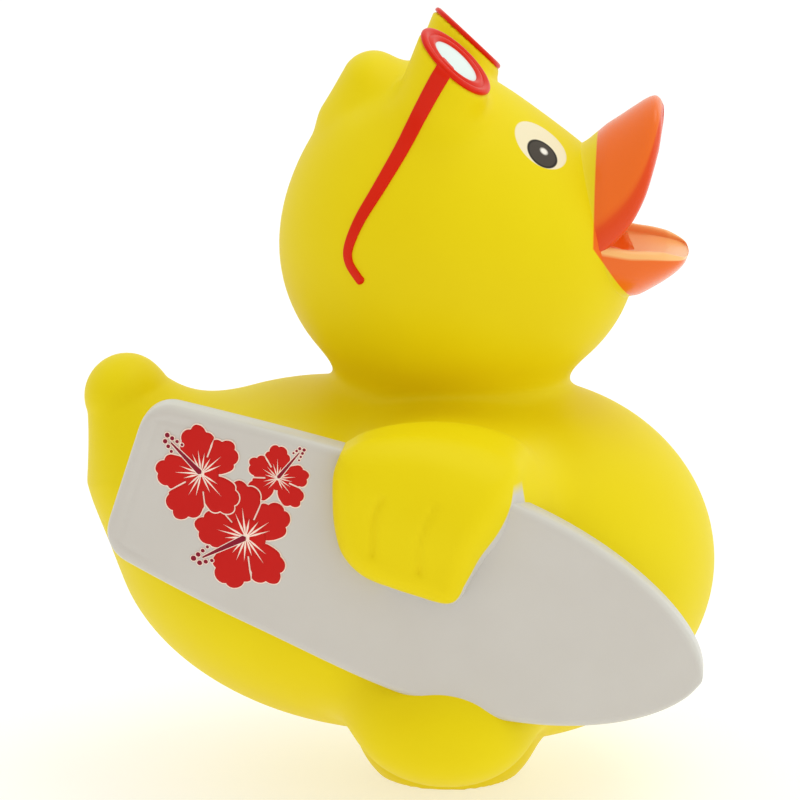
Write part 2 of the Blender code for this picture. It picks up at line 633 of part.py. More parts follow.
def main():
    clear_scene()
    parts = bpy.data.collections.new("surfing_duck")
    cutters = bpy.data.collections.new("cutters")
    for group in (parts, cutters):
        bpy.context.scene.collection.children.link(group)
    body = duck(parts, cutters)
    housing, reed = squeaker(parts)
    centre((body, housing, reed))
    finishes = (
        (body, "yellow_vinyl", (0.82, 0.62, 0.02), 0.45),
        (housing, "white_plastic", (0.80, 0.80, 0.78), 0.40),
        (reed, "clear_plastic", (0.70, 0.74, 0.76), 0.30),
    )
    for thing, name, colour, roughness in finishes:
        thing.data.materials.clear()
        thing.data.materials.append(material(name, colour, roughness))
        thing.data.shade_smooth()
        thing.data.set_sharp_from_angle(angle=math.radians(40))


main()
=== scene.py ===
"""The looks of a hollow vinyl toy duck that carries a surfboard under its right wing.

The duck faces +X, its right side is -Y and +Z is up. Every form is worked out in millimetres in the moulder's
own axes, where the duck's middle plane is Y = 0 and the ground is Z = 0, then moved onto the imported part.
"""

import logging
import math
from collections.abc import Callable
from dataclasses import dataclass, field
from enum import Enum

import bpy
import numpy as np
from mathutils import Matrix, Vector


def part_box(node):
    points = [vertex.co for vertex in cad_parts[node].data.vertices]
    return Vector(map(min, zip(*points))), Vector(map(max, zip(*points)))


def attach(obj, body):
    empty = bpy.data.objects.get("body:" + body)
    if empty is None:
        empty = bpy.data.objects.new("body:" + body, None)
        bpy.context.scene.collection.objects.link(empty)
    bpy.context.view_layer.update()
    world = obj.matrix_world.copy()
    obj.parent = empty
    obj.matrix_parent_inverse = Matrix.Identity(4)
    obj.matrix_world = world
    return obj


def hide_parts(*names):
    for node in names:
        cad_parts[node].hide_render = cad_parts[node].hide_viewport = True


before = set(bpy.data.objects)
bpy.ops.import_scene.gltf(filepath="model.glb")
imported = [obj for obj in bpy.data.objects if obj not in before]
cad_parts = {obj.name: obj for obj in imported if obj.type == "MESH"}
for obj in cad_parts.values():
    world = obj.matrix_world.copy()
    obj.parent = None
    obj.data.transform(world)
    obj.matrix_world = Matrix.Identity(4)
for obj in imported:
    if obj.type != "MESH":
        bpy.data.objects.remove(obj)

LOG = logging.getLogger("duck")
MM = 0.001
FOOT_AXIS = (5.3, 0.0)
BODY = "root"

Points = np.ndarray
Form = Callable[[Points], Points]
Socket = bpy.types.NodeSocket
Finish = bpy.types.Material
Thing = bpy.types.Object


class Side(Enum):
    """The duck's own right side, towards the camera, and its left side."""

    RIGHT = -1
    LEFT = 1


class Turn(Enum):
    """Which way round a grid of points closes."""

    OPEN = 0
    RING = 1


def seat_shift() -> Points:
    """Where the moulder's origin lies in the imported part.

    Returns:
        The shift in metres from the moulder's axes to the part's axes.
    """
    low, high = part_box("squeaker_housing")
    middle = (np.array(low) + np.array(high)) / 2
    return np.array([middle[0] - FOOT_AXIS[0] * MM, middle[1] - FOOT_AXIS[1] * MM, 0.0])


SHIFT = seat_shift()


# Distance fields: each gives how far points lie outside a form, and is negative inside it


def spun(p: Points, middle: tuple, pitch: float = 0.0, yaw: float = 0.0) -> Points:
    """Points in a form's own axes.

    Args:
        p: points of shape (..., 3).
        middle: the form's middle.
        pitch: degrees by which its rear end is lifted.
        yaw: degrees turned about Z.

    Returns:
        The points about the middle, turned back by yaw and then by pitch.
    """
    q = p - np.array(middle, float)
    c, s = math.cos(math.radians(yaw)), math.sin(math.radians(yaw))
    x, y, z = q[..., 0] * c + q[..., 1] * s, -q[..., 0] * s + q[..., 1] * c, q[..., 2]
    c, s = math.cos(math.radians(pitch)), math.sin(math.radians(pitch))
    return np.stack([x * c - z * s, y, x * s + z * c], -1)


def oval(p: Points, middle: tuple, radii: tuple, pitch: float = 0.0, yaw: float = 0.0) -> Points:
    """Distance to an ellipsoid: the scaled length k0 corrected by the scaled slope k1, k0 (k0 - 1) / k1."""
    q, r = spun(p, middle, pitch, yaw), np.array(radii, float)
    k0 = np.linalg.norm(q / r, axis=-1)
    k1 = np.linalg.norm(q / r**2, axis=-1)
    return k0 * (k0 - 1) / np.maximum(k1, 1e-9)


def cone(p: Points, start: tuple, end: tuple, first: float, last: float, breadth: float = 1.0) -> Points:
    """Distance to a rounded cone: the distance to its axis less a radius that changes evenly along it.

    Args:
        p: points of shape (..., 3).
        start: middle of the first ball.
        end: middle of the last ball.
        first: radius of the first ball.
        last: radius of the last ball.
        breadth: times as wide in Y as it is thick.

    Returns:
        The distances.
    """
    a, b = np.array(start, float), np.array(end, float)
    q = (p - a) * np.array([1.0, 1.0 / breadth, 1.0])
    t = np.clip(q @ (b - a) / ((b - a) @ (b - a)), 0, 1)
    return np.linalg.norm(q - t[..., None] * (b - a), axis=-1) - (first + (last - first) * t)


def puck(p: Points, middle: Points, normal: Points, radius: float, half: float, edge: float) -> Points:
    """Distance to a round disc of half height half about a normal, with its edge rounded by edge."""
    q = p - middle
    h = q @ normal
    r = np.linalg.norm(q - h[..., None] * normal, axis=-1) - (radius - edge)
    z = np.abs(h) - (half - edge)
    return np.hypot(np.maximum(r, 0), np.maximum(z, 0)) + np.minimum(np.maximum(r, z), 0) - edge


def melt(a: Points, b: Points, k: float) -> Points:
    """Union of two fields with a fillet: the lesser one, less h^2 k / 4 where they differ by less than k."""
    h = np.maximum(k - np.abs(a - b), 0) / k
    return np.minimum(a, b) - h * h * k / 4


def carve(a: Points, b: Points, k: float) -> Points:
    """Form a with form b taken out of it, with a rounded rim."""
    return -melt(-a, b, k)


def smooth_run(points: tuple, count: int) -> Points:
    """Points on a smooth curve through those given (Catmull-Rom), ends included.

    Args:
        points: the places that the curve goes through.
        count: how many points to give.

    Returns:
        An array of count rows.
    """
    run = np.array(points, float)
    ends = np.vstack([2 * run[0] - run[1], run, 2 * run[-1] - run[-2]])
    t = np.linspace(0.0, len(run) - 1.0, count)
    i = np.minimum(t.astype(int), len(run) - 2)
    f = (t - i)[:, None]
    a, b, c, d = ends[i], ends[i + 1], ends[i + 2], ends[i + 3]
    bend, twist = 2 * a - 5 * b + 4 * c - d, 3 * b - a - 3 * c + d
    return 0.5 * (2 * b + (c - a) * f + bend * f**2 + twist * f**3)


def ease(t: Points) -> Points:
    """A value that rises from 0 to 1 with level ends."""
    t = np.clip(t, 0, 1)
    return t * t * (3 - 2 * t)


@dataclass(frozen=True)
class Board:
    """The surfboard: u runs from its tail towards its nose, v up across it, depth inwards from its face."""

    length: float = 64.2
    width: float = 23.6
    tail_width: float = 17.4
    widest: float = 36.0
    thickness: float = 4.2
    corner: float = 3.0
    tail: tuple = (-26.8, 39.6)
    fall: float = 18.3
    face: float = -29.5
    wrap: float = 3.0
    wrap_middle: float = 31.5
    sag: float = 0.7
    lift: float = 0.06
    lift_end: float = 18.0

    def half_width(self, u: Points) -> Points:
        """Half the width at u: it swells up to the widest place and ahead of it falls as (1 - x^2)^0.6."""
        wide, tail = self.width / 2, self.tail_width / 2
        behind = wide - (wide - tail) * np.clip((self.widest - u) / self.widest, 0, 1) ** 1.8
        ahead = np.clip((u - self.widest) / (self.length - self.widest), 0, 1)
        short = np.clip(self.corner - u, 0, None)
        corner = self.corner - np.sqrt(np.clip(self.corner**2 - short**2, 0, None))
        return behind * (1 - ahead**2) ** 0.6 - corner

    def place(self, u: Points, v: Points, depth: Points) -> Points:
        """The point in space for a place on the board; its ends curve towards the duck by the wrap."""
        c, s = math.cos(math.radians(self.fall)), math.sin(math.radians(self.fall))
        v = v * np.where(v < 0, 1 - self.lift * (1 - ease((u - self.lift_end) / self.lift_end)), 1.0)
        v = v - self.sag * ease((u - self.widest) / (self.length - self.widest))
        x = self.tail[0] + u * c + v * s
        z = self.tail[1] - u * s + v * c
        wrap = self.wrap * ((u - self.wrap_middle) / self.wrap_middle) ** 2
        return np.stack(np.broadcast_arrays(x, self.face + depth + wrap, z), -1)

    def plan(self, x: Points, z: Points) -> tuple:
        """The u and v of a place seen from the side."""
        c, s = math.cos(math.radians(self.fall)), math.sin(math.radians(self.fall))
        dx, dz = x - self.tail[0], z - self.tail[1]
        return dx * c - dz * s, dx * s + dz * c


@dataclass
class SideOutline:
    """A closed outline in side view, kept as a table of distances that a field can look up quickly."""

    corners: tuple
    step: float = 0.25
    margin: float = 9.0
    low: Points = field(init=False)
    table: Points = field(init=False)

    def __post_init__(self) -> None:
        """Fills the table: the least distance to any edge, negative where the winding number says inside."""
        ring = smooth_run((*self.corners, self.corners[0]), 97)[:-1]
        self.low = ring.min(axis=0) - self.margin
        size = ((ring.max(axis=0) + self.margin - self.low) / self.step).astype(int) + 2
        x = self.low[0] + self.step * np.arange(size[0])
        z = self.low[1] + self.step * np.arange(size[1])
        p = np.stack(np.meshgrid(x, z, indexing="ij"), -1)[:, :, None, :]
        a, b = ring, np.roll(ring, -1, axis=0)
        t = np.clip(((p - a) * (b - a)).sum(-1) / ((b - a) ** 2).sum(-1), 0, 1)
        near = np.linalg.norm(p - a - t[..., None] * (b - a), axis=-1).min(-1)
        crossing = (a[:, 1] > p[..., 1]) != (b[:, 1] > p[..., 1])
        slope = (b[:, 0] - a[:, 0]) / np.where(b[:, 1] == a[:, 1], 1e-9, b[:, 1] - a[:, 1])
        inside = (crossing & (p[..., 0] < a[:, 0] + slope * (p[..., 1] - a[:, 1]))).sum(-1) % 2 == 1
        self.table = np.where(inside, -near, near)

    def distance(self, x: Points, z: Points) -> Points:
        """Distance to the outline in side view, read between the table's entries."""
        i = np.clip((x - self.low[0]) / self.step, 0, self.table.shape[0] - 1.001)
        k = np.clip((z - self.low[1]) / self.step, 0, self.table.shape[1] - 1.001)
        i0, k0 = i.astype(int), k.astype(int)
        share, rise = i - i0, k - k0
        t = self.table
        low = t[i0, k0] * (1 - share) + t[i0 + 1, k0] * share
        high = t[i0, k0 + 1] * (1 - share) + t[i0 + 1, k0 + 1] * share
        return low * (1 - rise) + high * rise


def run_distance(x: Points, z: Points, points: tuple) -> Points:
    """Distance in side view to a smooth line through the points."""
    run = smooth_run(points, 9)
    near = np.full(np.shape(x), 1e9)
    for a, b in zip(run[:-1], run[1:]):
        t = np.clip(((x - a[0]) * (b - a)[0] + (z - a[1]) * (b - a)[1]) / ((b - a) @ (b - a)), 0, 1)
        near = np.minimum(near, np.hypot(x - a[0] - t * (b - a)[0], z - a[1] - t * (b - a)[1]))
    return near


@dataclass(frozen=True)
class Lens:
    """Where a lens of the glasses lies: pushed up on the forehead, tipped forwards and a little outwards."""

    side: Side
    x: float = 6.75
    spread: float = 9.0
    z: float = 81.25
    pitch: float = 43.5
    yaw: float = 13.0

    @property
    def middle(self) -> Points:
        """The middle of the lens."""
        return np.array([self.x, self.side.value * self.spread, self.z])

    @property
    def axes(self) -> Points:
        """Rows: across the lens, along it, and out of it."""
        pitch, yaw = math.radians(self.pitch), math.radians(self.side.value * self.yaw)
        out = np.array([math.sin(pitch) * math.cos(yaw), math.sin(pitch) * math.sin(yaw), math.cos(pitch)])
        across = np.cross([0.0, 1.0, 0.0], out)
        across /= np.linalg.norm(across)
        return np.array([across, np.cross(out, across), out])


WING_OUTLINE = ((-3.5, 43.6), (-1.5, 44.6), (1.4, 45.1), (4.7, 45.0), (8.2, 44.3), (11.6, 43.1), (14.4, 41.4),
                (13.8, 39.0), (12.1, 36.3), (10.7, 33.6), (10.0, 31.0), (9.0, 28.6), (7.4, 27.9), (4.3, 28.7),
                (1.2, 29.7), (-1.4, 30.9), (-3.3, 33.0), (-4.1, 35.8), (-4.3, 38.8), (-4.2, 41.5))
GROOVES = (((0.9, 39.4), (0.2, 37.8), (0.1, 35.6), (0.0, 33.6)),
           ((6.4, 38.6), (5.5, 36.9), (4.8, 34.6), (4.9, 31.8)))


@dataclass
class Moulding:
    """The yellow moulding as one distance field: every soft form melts into its neighbours with a fillet.

    An oval is given by its middle and radii, then by its pitch and yaw if it has them, and a cone by its two
    middles, its two radii and its breadth. The shoulder and the cradle are placed from the board's face.
    """

    board: Board = Board()
    skull: tuple = ((2.9, 0, 62.0), (14.6, 17.2, 17.9))
    cheeks: tuple = ((6.6, 0, 59.1), (19.2, 16.4, 16.3))
    tuft: tuple = ((-2.9, 0, 77.3), (-5.8, 0, 73.4), 3.6, 3.0, 1.6)
    crease: tuple = ((-4.3, 75.4), (-2.0, 76.6), (0.4, 77.8))
    crease_depth: float = 0.2
    crease_width: float = 0.9
    crease_from: float = 2.5
    boss_radius: float = 4.9
    boss_half: float = 4.2
    boss_sink: float = 4.4
    boss_edge: float = 0.6
    boss_lean: float = 0.38
    mouth_corner: tuple = (22.3, 61.2)
    mouth_back: tuple = (0.894, 0.447)
    mouth_floor: float = 0.15
    throat: tuple = ((24.4, 0, 63.4), (4.4, 6.3, 4.6))
    breast: tuple = ((12.4, 0, 25.0), (22.4, 25.5, 19.5), 3.1)
    rump: tuple = ((-3.6, 0, 25.2), (28.2, 26.5, 18.8), 8.7)
    tail: tuple = ((-27.7, 0, 35.7), (-30.4, 0, 42.3), 7.2, 4.6, 1.25)
    foot: tuple = ((5.4, 0, 6.5), (10.6, 10.6, 9.7))
    lump: tuple = ((6.5, -23.0, 12.9), (9.6, 8.4, 6.9), 5.0)
    wing: SideOutline = field(default_factory=lambda: SideOutline(WING_OUTLINE))
    wing_middle: float = 0.9
    wing_half: float = 4.6
    wing_edge: float = 2.6
    wing_roll: float = 0.045
    wing_roll_from: float = 36.5
    wing_roll_lean: float = 0.5
    groove_depth: float = 0.34
    groove_width: float = 0.36
    shoulder: tuple = ((6.0, 13.6, 36.2), (12.6, 15.9, 7.9))
    cradle: tuple = ((29.0, 13.4, 0.0), (25.0, 9.6, 8.6))
    left_wing: tuple = ((1.3, 23.4, 29.0), (16.6, 5.6, 9.6), 14.0, -4.0)

    def head(self, p: Points) -> Points:
        """Skull, cheeks and tuft with its crease, and the bosses that lean back behind the lenses."""
        d = melt(oval(p, *self.skull), oval(p, *self.cheeks), 4.0)
        d = melt(d, cone(p, *self.tuft), 1.4)
        near = run_distance(p[..., 0], p[..., 2], self.crease) / self.crease_width
        d = d + self.crease_depth * np.exp(-(near**2)) * (np.abs(p[..., 1]) > self.crease_from)
        for side in Side:
            lens = Lens(side)
            across, _, out = lens.axes
            back = ((p - lens.middle) @ out)[..., None]
            leant = p + self.boss_lean * back * across
            middle = lens.middle - self.boss_sink * out
            d = melt(d, puck(leant, middle, out, self.boss_radius, self.boss_half, self.boss_edge), 1.8)
        return d

    def mouth(self, p: Points) -> Points:
        """What is open between the bills: a wedge from the corners of the mouth, and the throat behind it."""
        x, z = p[..., 0] - self.mouth_corner[0], p[..., 2] - self.mouth_corner[1]
        across, down = self.mouth_back
        wedge = -melt(across * x - down * z, z + self.mouth_floor * x, 0.6)
        return melt(wedge, oval(p, *self.throat), 0.8)

    def trunk(self, p: Points) -> Points:
        """Breast, rump, tail and foot, and the lump that laps over the board's lower edge."""
        d = melt(oval(p, *self.breast), oval(p, *self.rump), 6.0)
        d = melt(d, cone(p, *self.tail), 7.0)
        d = melt(d, oval(p, *self.foot), 3.0)
        return melt(d, oval(p, *self.lump), 6.0)

    def wings(self, p: Points) -> Points:
        """The right wing folded over the board, its shoulder, the cradle behind the board, and the left wing.

        The right wing is its outline with a rounded edge. Its face rolls inwards towards its top as a square.
        """
        x, y, z = p[..., 0], p[..., 1], p[..., 2]
        flat = self.wing.distance(x, z) + self.wing_edge
        past = z + self.wing_roll_lean * (x - 4.0) - self.wing_roll_from
        roll = self.wing_roll * np.maximum(0.0, past) ** 2
        deep = np.abs(y - self.board.face - self.wing_middle - roll) - (self.wing_half - self.wing_edge)
        d = np.hypot(np.maximum(flat, 0), np.maximum(deep, 0)) + np.minimum(np.maximum(flat, deep), 0)
        d = d - self.wing_edge
        for groove in GROOVES:
            near = run_distance(x, z, groove) / self.groove_width
            d = d + self.groove_depth * np.exp(-(near**2)) * (y < self.board.face)
        behind = y - self.board.face
        d = melt(d, oval(np.stack([x, behind, z], -1), *self.shoulder), 3.4)
        u, v = self.board.plan(x, z)
        d = melt(d, oval(np.stack([u, behind, v], -1), *self.cradle), 1.5)
        return melt(d, oval(p, *self.left_wing), 1.2)

    def __call__(self, p: Points) -> Points:
        """Distance to the whole skin, flat under the foot."""
        d = melt(self.trunk(p), carve(self.head(p), self.mouth(p), 0.5), 5.0)
        return np.maximum(melt(d, self.wings(p), 2.4), -p[..., 2])

    def drop(self, x: Points, z: Points, side: Side, reach: float = 40.0) -> Points:
        """Points of the skin where lines along Y from one side meet it.

        Args:
            x: places along X.
            z: heights.
            side: the side that the lines come from.
            reach: how far out they start.

        Returns:
            The points met.
        """
        y = np.full(np.shape(x), float(reach))
        for _ in range(70):
            y = y - np.maximum(self(np.stack([x, side.value * y, z], -1)), 0) * 0.8
        return np.stack([x, side.value * y, z], -1)


def slope(form: Form, p: Points, step: float = 0.02) -> Points:
    """A field's unit slope at points, which points out of its form."""
    g = np.stack([form(p + step * axis) - form(p - step * axis) for axis in np.eye(3)], -1)
    return g / np.maximum(np.linalg.norm(g, axis=-1, keepdims=True), 1e-9)


def onto(form: Form, p: Points, passes: int) -> Points:
    """Points drawn along the slope onto a form's skin."""
    for _ in range(passes):
        p = p - form(p)[..., None] * slope(form, p)
    return p


def net(form: Form, lines: list) -> tuple:
    """A closed mesh round a field, one vertex in each cell that the skin passes through (surface nets).

    The field is worked out at the corners of a lattice of cells. Each cell whose corners lie on both sides
    of the skin gets a vertex at the mean of the places where its edges cross the skin. Each cell edge that
    crosses the skin gives one face between the four cells round it.

    Args:
        form: the distance field.
        lines: the lattice's lines along each axis.

    Returns:
        The vertices (count, 3) and the faces (count, 4).
    """
    p = np.stack(np.meshgrid(*lines, indexing="ij"), -1)
    value = np.stack([form(slab) for slab in p])
    inside = value < 0
    shape = np.array(value.shape) - 1
    total = np.zeros((*shape, 3))
    count = np.zeros(shape)
    corners = [(i, j, k) for i in (0, 1) for j in (0, 1) for k in (0, 1)]
    for a, axis in ((a, axis) for a in corners for axis in range(3) if not a[axis]):
        b = tuple(1 if n == axis else a[n] for n in range(3))
        cut_a, cut_b = (tuple(slice(n, n + s) for n, s in zip(corner, shape)) for corner in (a, b))
        va, vb = value[cut_a], value[cut_b]
        crossed = (va < 0) != (vb < 0)
        t = np.where(crossed, va / np.where(crossed, va - vb, 1.0), 0.0)[..., None]
        total += np.where(crossed[..., None], p[cut_a] * (1 - t) + p[cut_b] * t, 0.0)
        count += crossed
    active = count > 0
    index = np.full(shape, -1)
    index[active] = np.arange(active.sum())
    verts = total[active] / count[active][:, None]
    faces = []
    for axis in range(3):
        u, w = (axis + 1) % 3, (axis + 2) % 3
        first = [slice(1, -1)] * 3
        second = [slice(1, -1)] * 3
        first[axis], second[axis] = slice(0, -1), slice(1, None)
        start, end = inside[tuple(first)], inside[tuple(second)]
        cell = np.stack(np.nonzero(start != end), -1)
        leaving = start[tuple(cell.T)]
        ring = []
        for du, dw in ((1, 1), (0, 1), (0, 0), (1, 0)):
            c = cell.copy()
            c[:, u] += du
            c[:, w] += dw
            ring.append(index[tuple(c.T)])
        quad = np.stack(ring, -1)
        faces.append(np.where(leaving[:, None], quad, quad[:, ::-1]))
    return verts, np.concatenate(faces)


def put(name: str, verts: Points, faces: Points, smooth: bool = True) -> Thing:
    """Makes an object of points in moulder's millimetres; its own origin stays at the part's origin.

    Args:
        name: the object's name.
        verts: points (count, 3).
        faces: corner numbers (count, 3 or 4), where a repeated corner is dropped.
        smooth: whether the faces are shaded smooth.

    Returns:
        The object, linked to the scene.
    """
    mesh = bpy.data.meshes.new(name)
    corners = [tuple(dict.fromkeys(face)) for face in faces.tolist()]
    mesh.from_pydata((verts * MM + SHIFT).tolist(), [], corners)
    mesh.update()
    mesh.polygons.foreach_set("use_smooth", np.full(len(mesh.polygons), smooth))
    thing = bpy.data.objects.new(name, mesh)
    bpy.context.scene.collection.objects.link(thing)
    return thing


def grid_faces(rows: int, columns: int, closed_rows: Turn, closed_columns: Turn) -> Points:
    """Faces between the points of a grid, row by row.

    Args:
        rows: number of rows.
        columns: number of points in a row.
        closed_rows: whether the last row joins the first.
        closed_columns: whether each row is a ring.

    Returns:
        The corner numbers (count, 4).
    """
    i = np.arange(rows if closed_rows is Turn.RING else rows - 1)[:, None]
    j = np.arange(columns if closed_columns is Turn.RING else columns - 1)[None, :]
    i2, j2 = (i + 1) % rows, (j + 1) % columns
    corners = i * columns + j, i2 * columns + j, i2 * columns + j2, i * columns + j2
    return np.stack(np.broadcast_arrays(*corners), -1).reshape(-1, 4)


def capped(rings: Points) -> tuple:
    """A closed skin over rings of points (rows, columns, 3): each end is closed by a fan to its middle.

    Args:
        rings: the rings, in order from one end to the other.

    Returns:
        The vertices and the faces.
    """
    rows, columns = rings.shape[:2]
    verts = np.vstack([rings.reshape(-1, 3), rings[0].mean(0), rings[-1].mean(0)])
    faces = grid_faces(rows, columns, Turn.OPEN, Turn.RING)
    j = np.arange(columns)
    k = (j + 1) % columns
    start, end, last = rows * columns, rows * columns + 1, (rows - 1) * columns
    head = np.stack([j, k, np.full(columns, start), np.full(columns, start)], -1)
    tail = np.stack([last + k, last + j, np.full(columns, end), np.full(columns, end)], -1)
    return verts, np.concatenate([faces, head, tail])


def outward(verts: Points, faces: Points) -> Points:
    """The faces, turned over if the volume that they enclose comes out negative."""
    a, b, c, d = (verts[faces[:, n]] for n in range(4))
    volume = (np.cross(b - a, c - a) * a).sum() + (np.cross(c - a, d - a) * a).sum()
    return faces if volume > 0 else faces[:, ::-1]


def circle(count: int) -> Points:
    """Points (count, 2) round a unit circle."""
    a = np.linspace(0, 2 * math.pi, count, endpoint=False)
    return np.stack([np.cos(a), np.sin(a)], -1)


# Finishes


def linear(code: str) -> tuple:
    """A colour written as sRGB hex, as linear values with alpha."""
    parts = [int(code[n:n + 2], 16) / 255 for n in (1, 3, 5)]
    return (*(v / 12.92 if v <= 0.04045 else ((v + 0.055) / 1.055) ** 2.4 for v in parts), 1.0)


MIX = {"out": 2, "data_type": "RGBA"}


class Sheet:
    """The node sheet of a material or of the world, with one way to add a node."""

    def __init__(self, owner: Finish | bpy.types.World) -> None:
        """Gives the owner its nodes; a material starts with a Principled shader."""
        owner.use_nodes = True
        self.owner = owner
        self.tree = owner.node_tree
        self.shader = self.tree.nodes.get("Principled BSDF")

    def add(self, kind: str, inputs: dict | tuple = (), out: int | str = 0, **settings: object) -> Socket:
        """Adds a node.

        Args:
            kind: the node's type name after ShaderNode.
            inputs: values or other nodes' outputs, in the sockets' order or by socket name or number.
            out: which output to give back.
            **settings: the node's own properties.

        Returns:
            The output socket asked for.
        """
        node = self.tree.nodes.new(f"ShaderNode{kind}")
        for key, value in settings.items():
            setattr(node, key, value)
        for key, value in inputs.items() if isinstance(inputs, dict) else enumerate(inputs):
            self.feed(node.inputs[key], value)
        return node.outputs[out]

    def feed(self, socket: Socket, value: object) -> None:
        """Links an output to the socket, or sets its value."""
        if isinstance(value, bpy.types.NodeSocket):
            self.tree.links.new(value, socket)
        else:
            socket.default_value = value

    def place(self) -> tuple:
        """The spot in the moulder's own millimetres from Object coordinates, then its x, y and z."""
        spot = self.add("TexCoord", out="Object")
        here = self.add("VectorMath", (spot, tuple(-SHIFT)), operation="ADD")
        grown = self.add("VectorMath", (here, (1 / MM,) * 3), operation="MULTIPLY")
        x = self.add("SeparateXYZ", (grown,))
        return grown, *x.node.outputs

    def within(self, *limits: tuple) -> Socket:
        """The shares clamp((value - limit) / width + 0.5) multiplied together.

        Args:
            *limits: rows of a value, its limit and the soft edge's width in millimetres, which is negative
                where the value has to lie below the limit.

        Returns:
            1 where every value keeps to its limit.
        """
        total = None
        for value, limit, width in limits:
            line = (value, 1 / width, 0.5 - limit / width)
            share = self.add("Math", line, operation="MULTIPLY_ADD", use_clamp=True)
            total = share if total is None else self.add("Math", (total, share), operation="MULTIPLY")
        return total

    def surface(self, spot: Socket, rough: object, shine: float, grain: float, sway: float) -> None:
        """Gives the shader a fine grain that stands 0.006 mm.

        Args:
            spot: the place in millimetres.
            rough: the roughness without the grain.
            shine: the specular level.
            grain: the grain's size in millimetres.
            sway: what the grain adds to the roughness at most.
        """
        fine = self.add("TexNoise", {"Vector": spot, "Scale": 1 / grain, "Detail": 2.0}, out="Fac")
        bump = self.add("Bump", {"Height": fine, "Strength": 1.0, "Distance": 0.006 * MM}, out="Normal")
        roughness = self.add("Math", (fine, sway, rough), operation="MULTIPLY_ADD")
        for name, value in (("Roughness", roughness), ("Specular IOR Level", shine), ("Normal", bump)):
            self.feed(self.shader.inputs[name], value)


@dataclass(frozen=True)
class EyeMark:
    """A round mark on both sides of the head, the eye's print and the painted highlight in its pupil: a ball
    round its middle cuts it out of the skin.
    """

    middle: tuple
    radius: float
    colour: str
    soft: float = 0.12
    squeeze: float = 1.0


EYE_SLANT = (0.690, 0.220, 0.689)
EYE_PRINT_AND_HIGHLIGHT = (
    EyeMark((15.75, 7.15, 72.30), 3.32, "#F3E8C8", squeeze=1.38),
    EyeMark((15.95, 8.15, 71.42), 1.92, "#2E2A26", squeeze=1.22),
    EyeMark((15.95, 8.15, 71.42), 1.66, "#4A443E", squeeze=1.22),
    # A small white dot in each pupil: a painted highlight.
    EyeMark((16.15, 7.75, 71.66), 0.50, "#F4F0E8", 0.25),
)


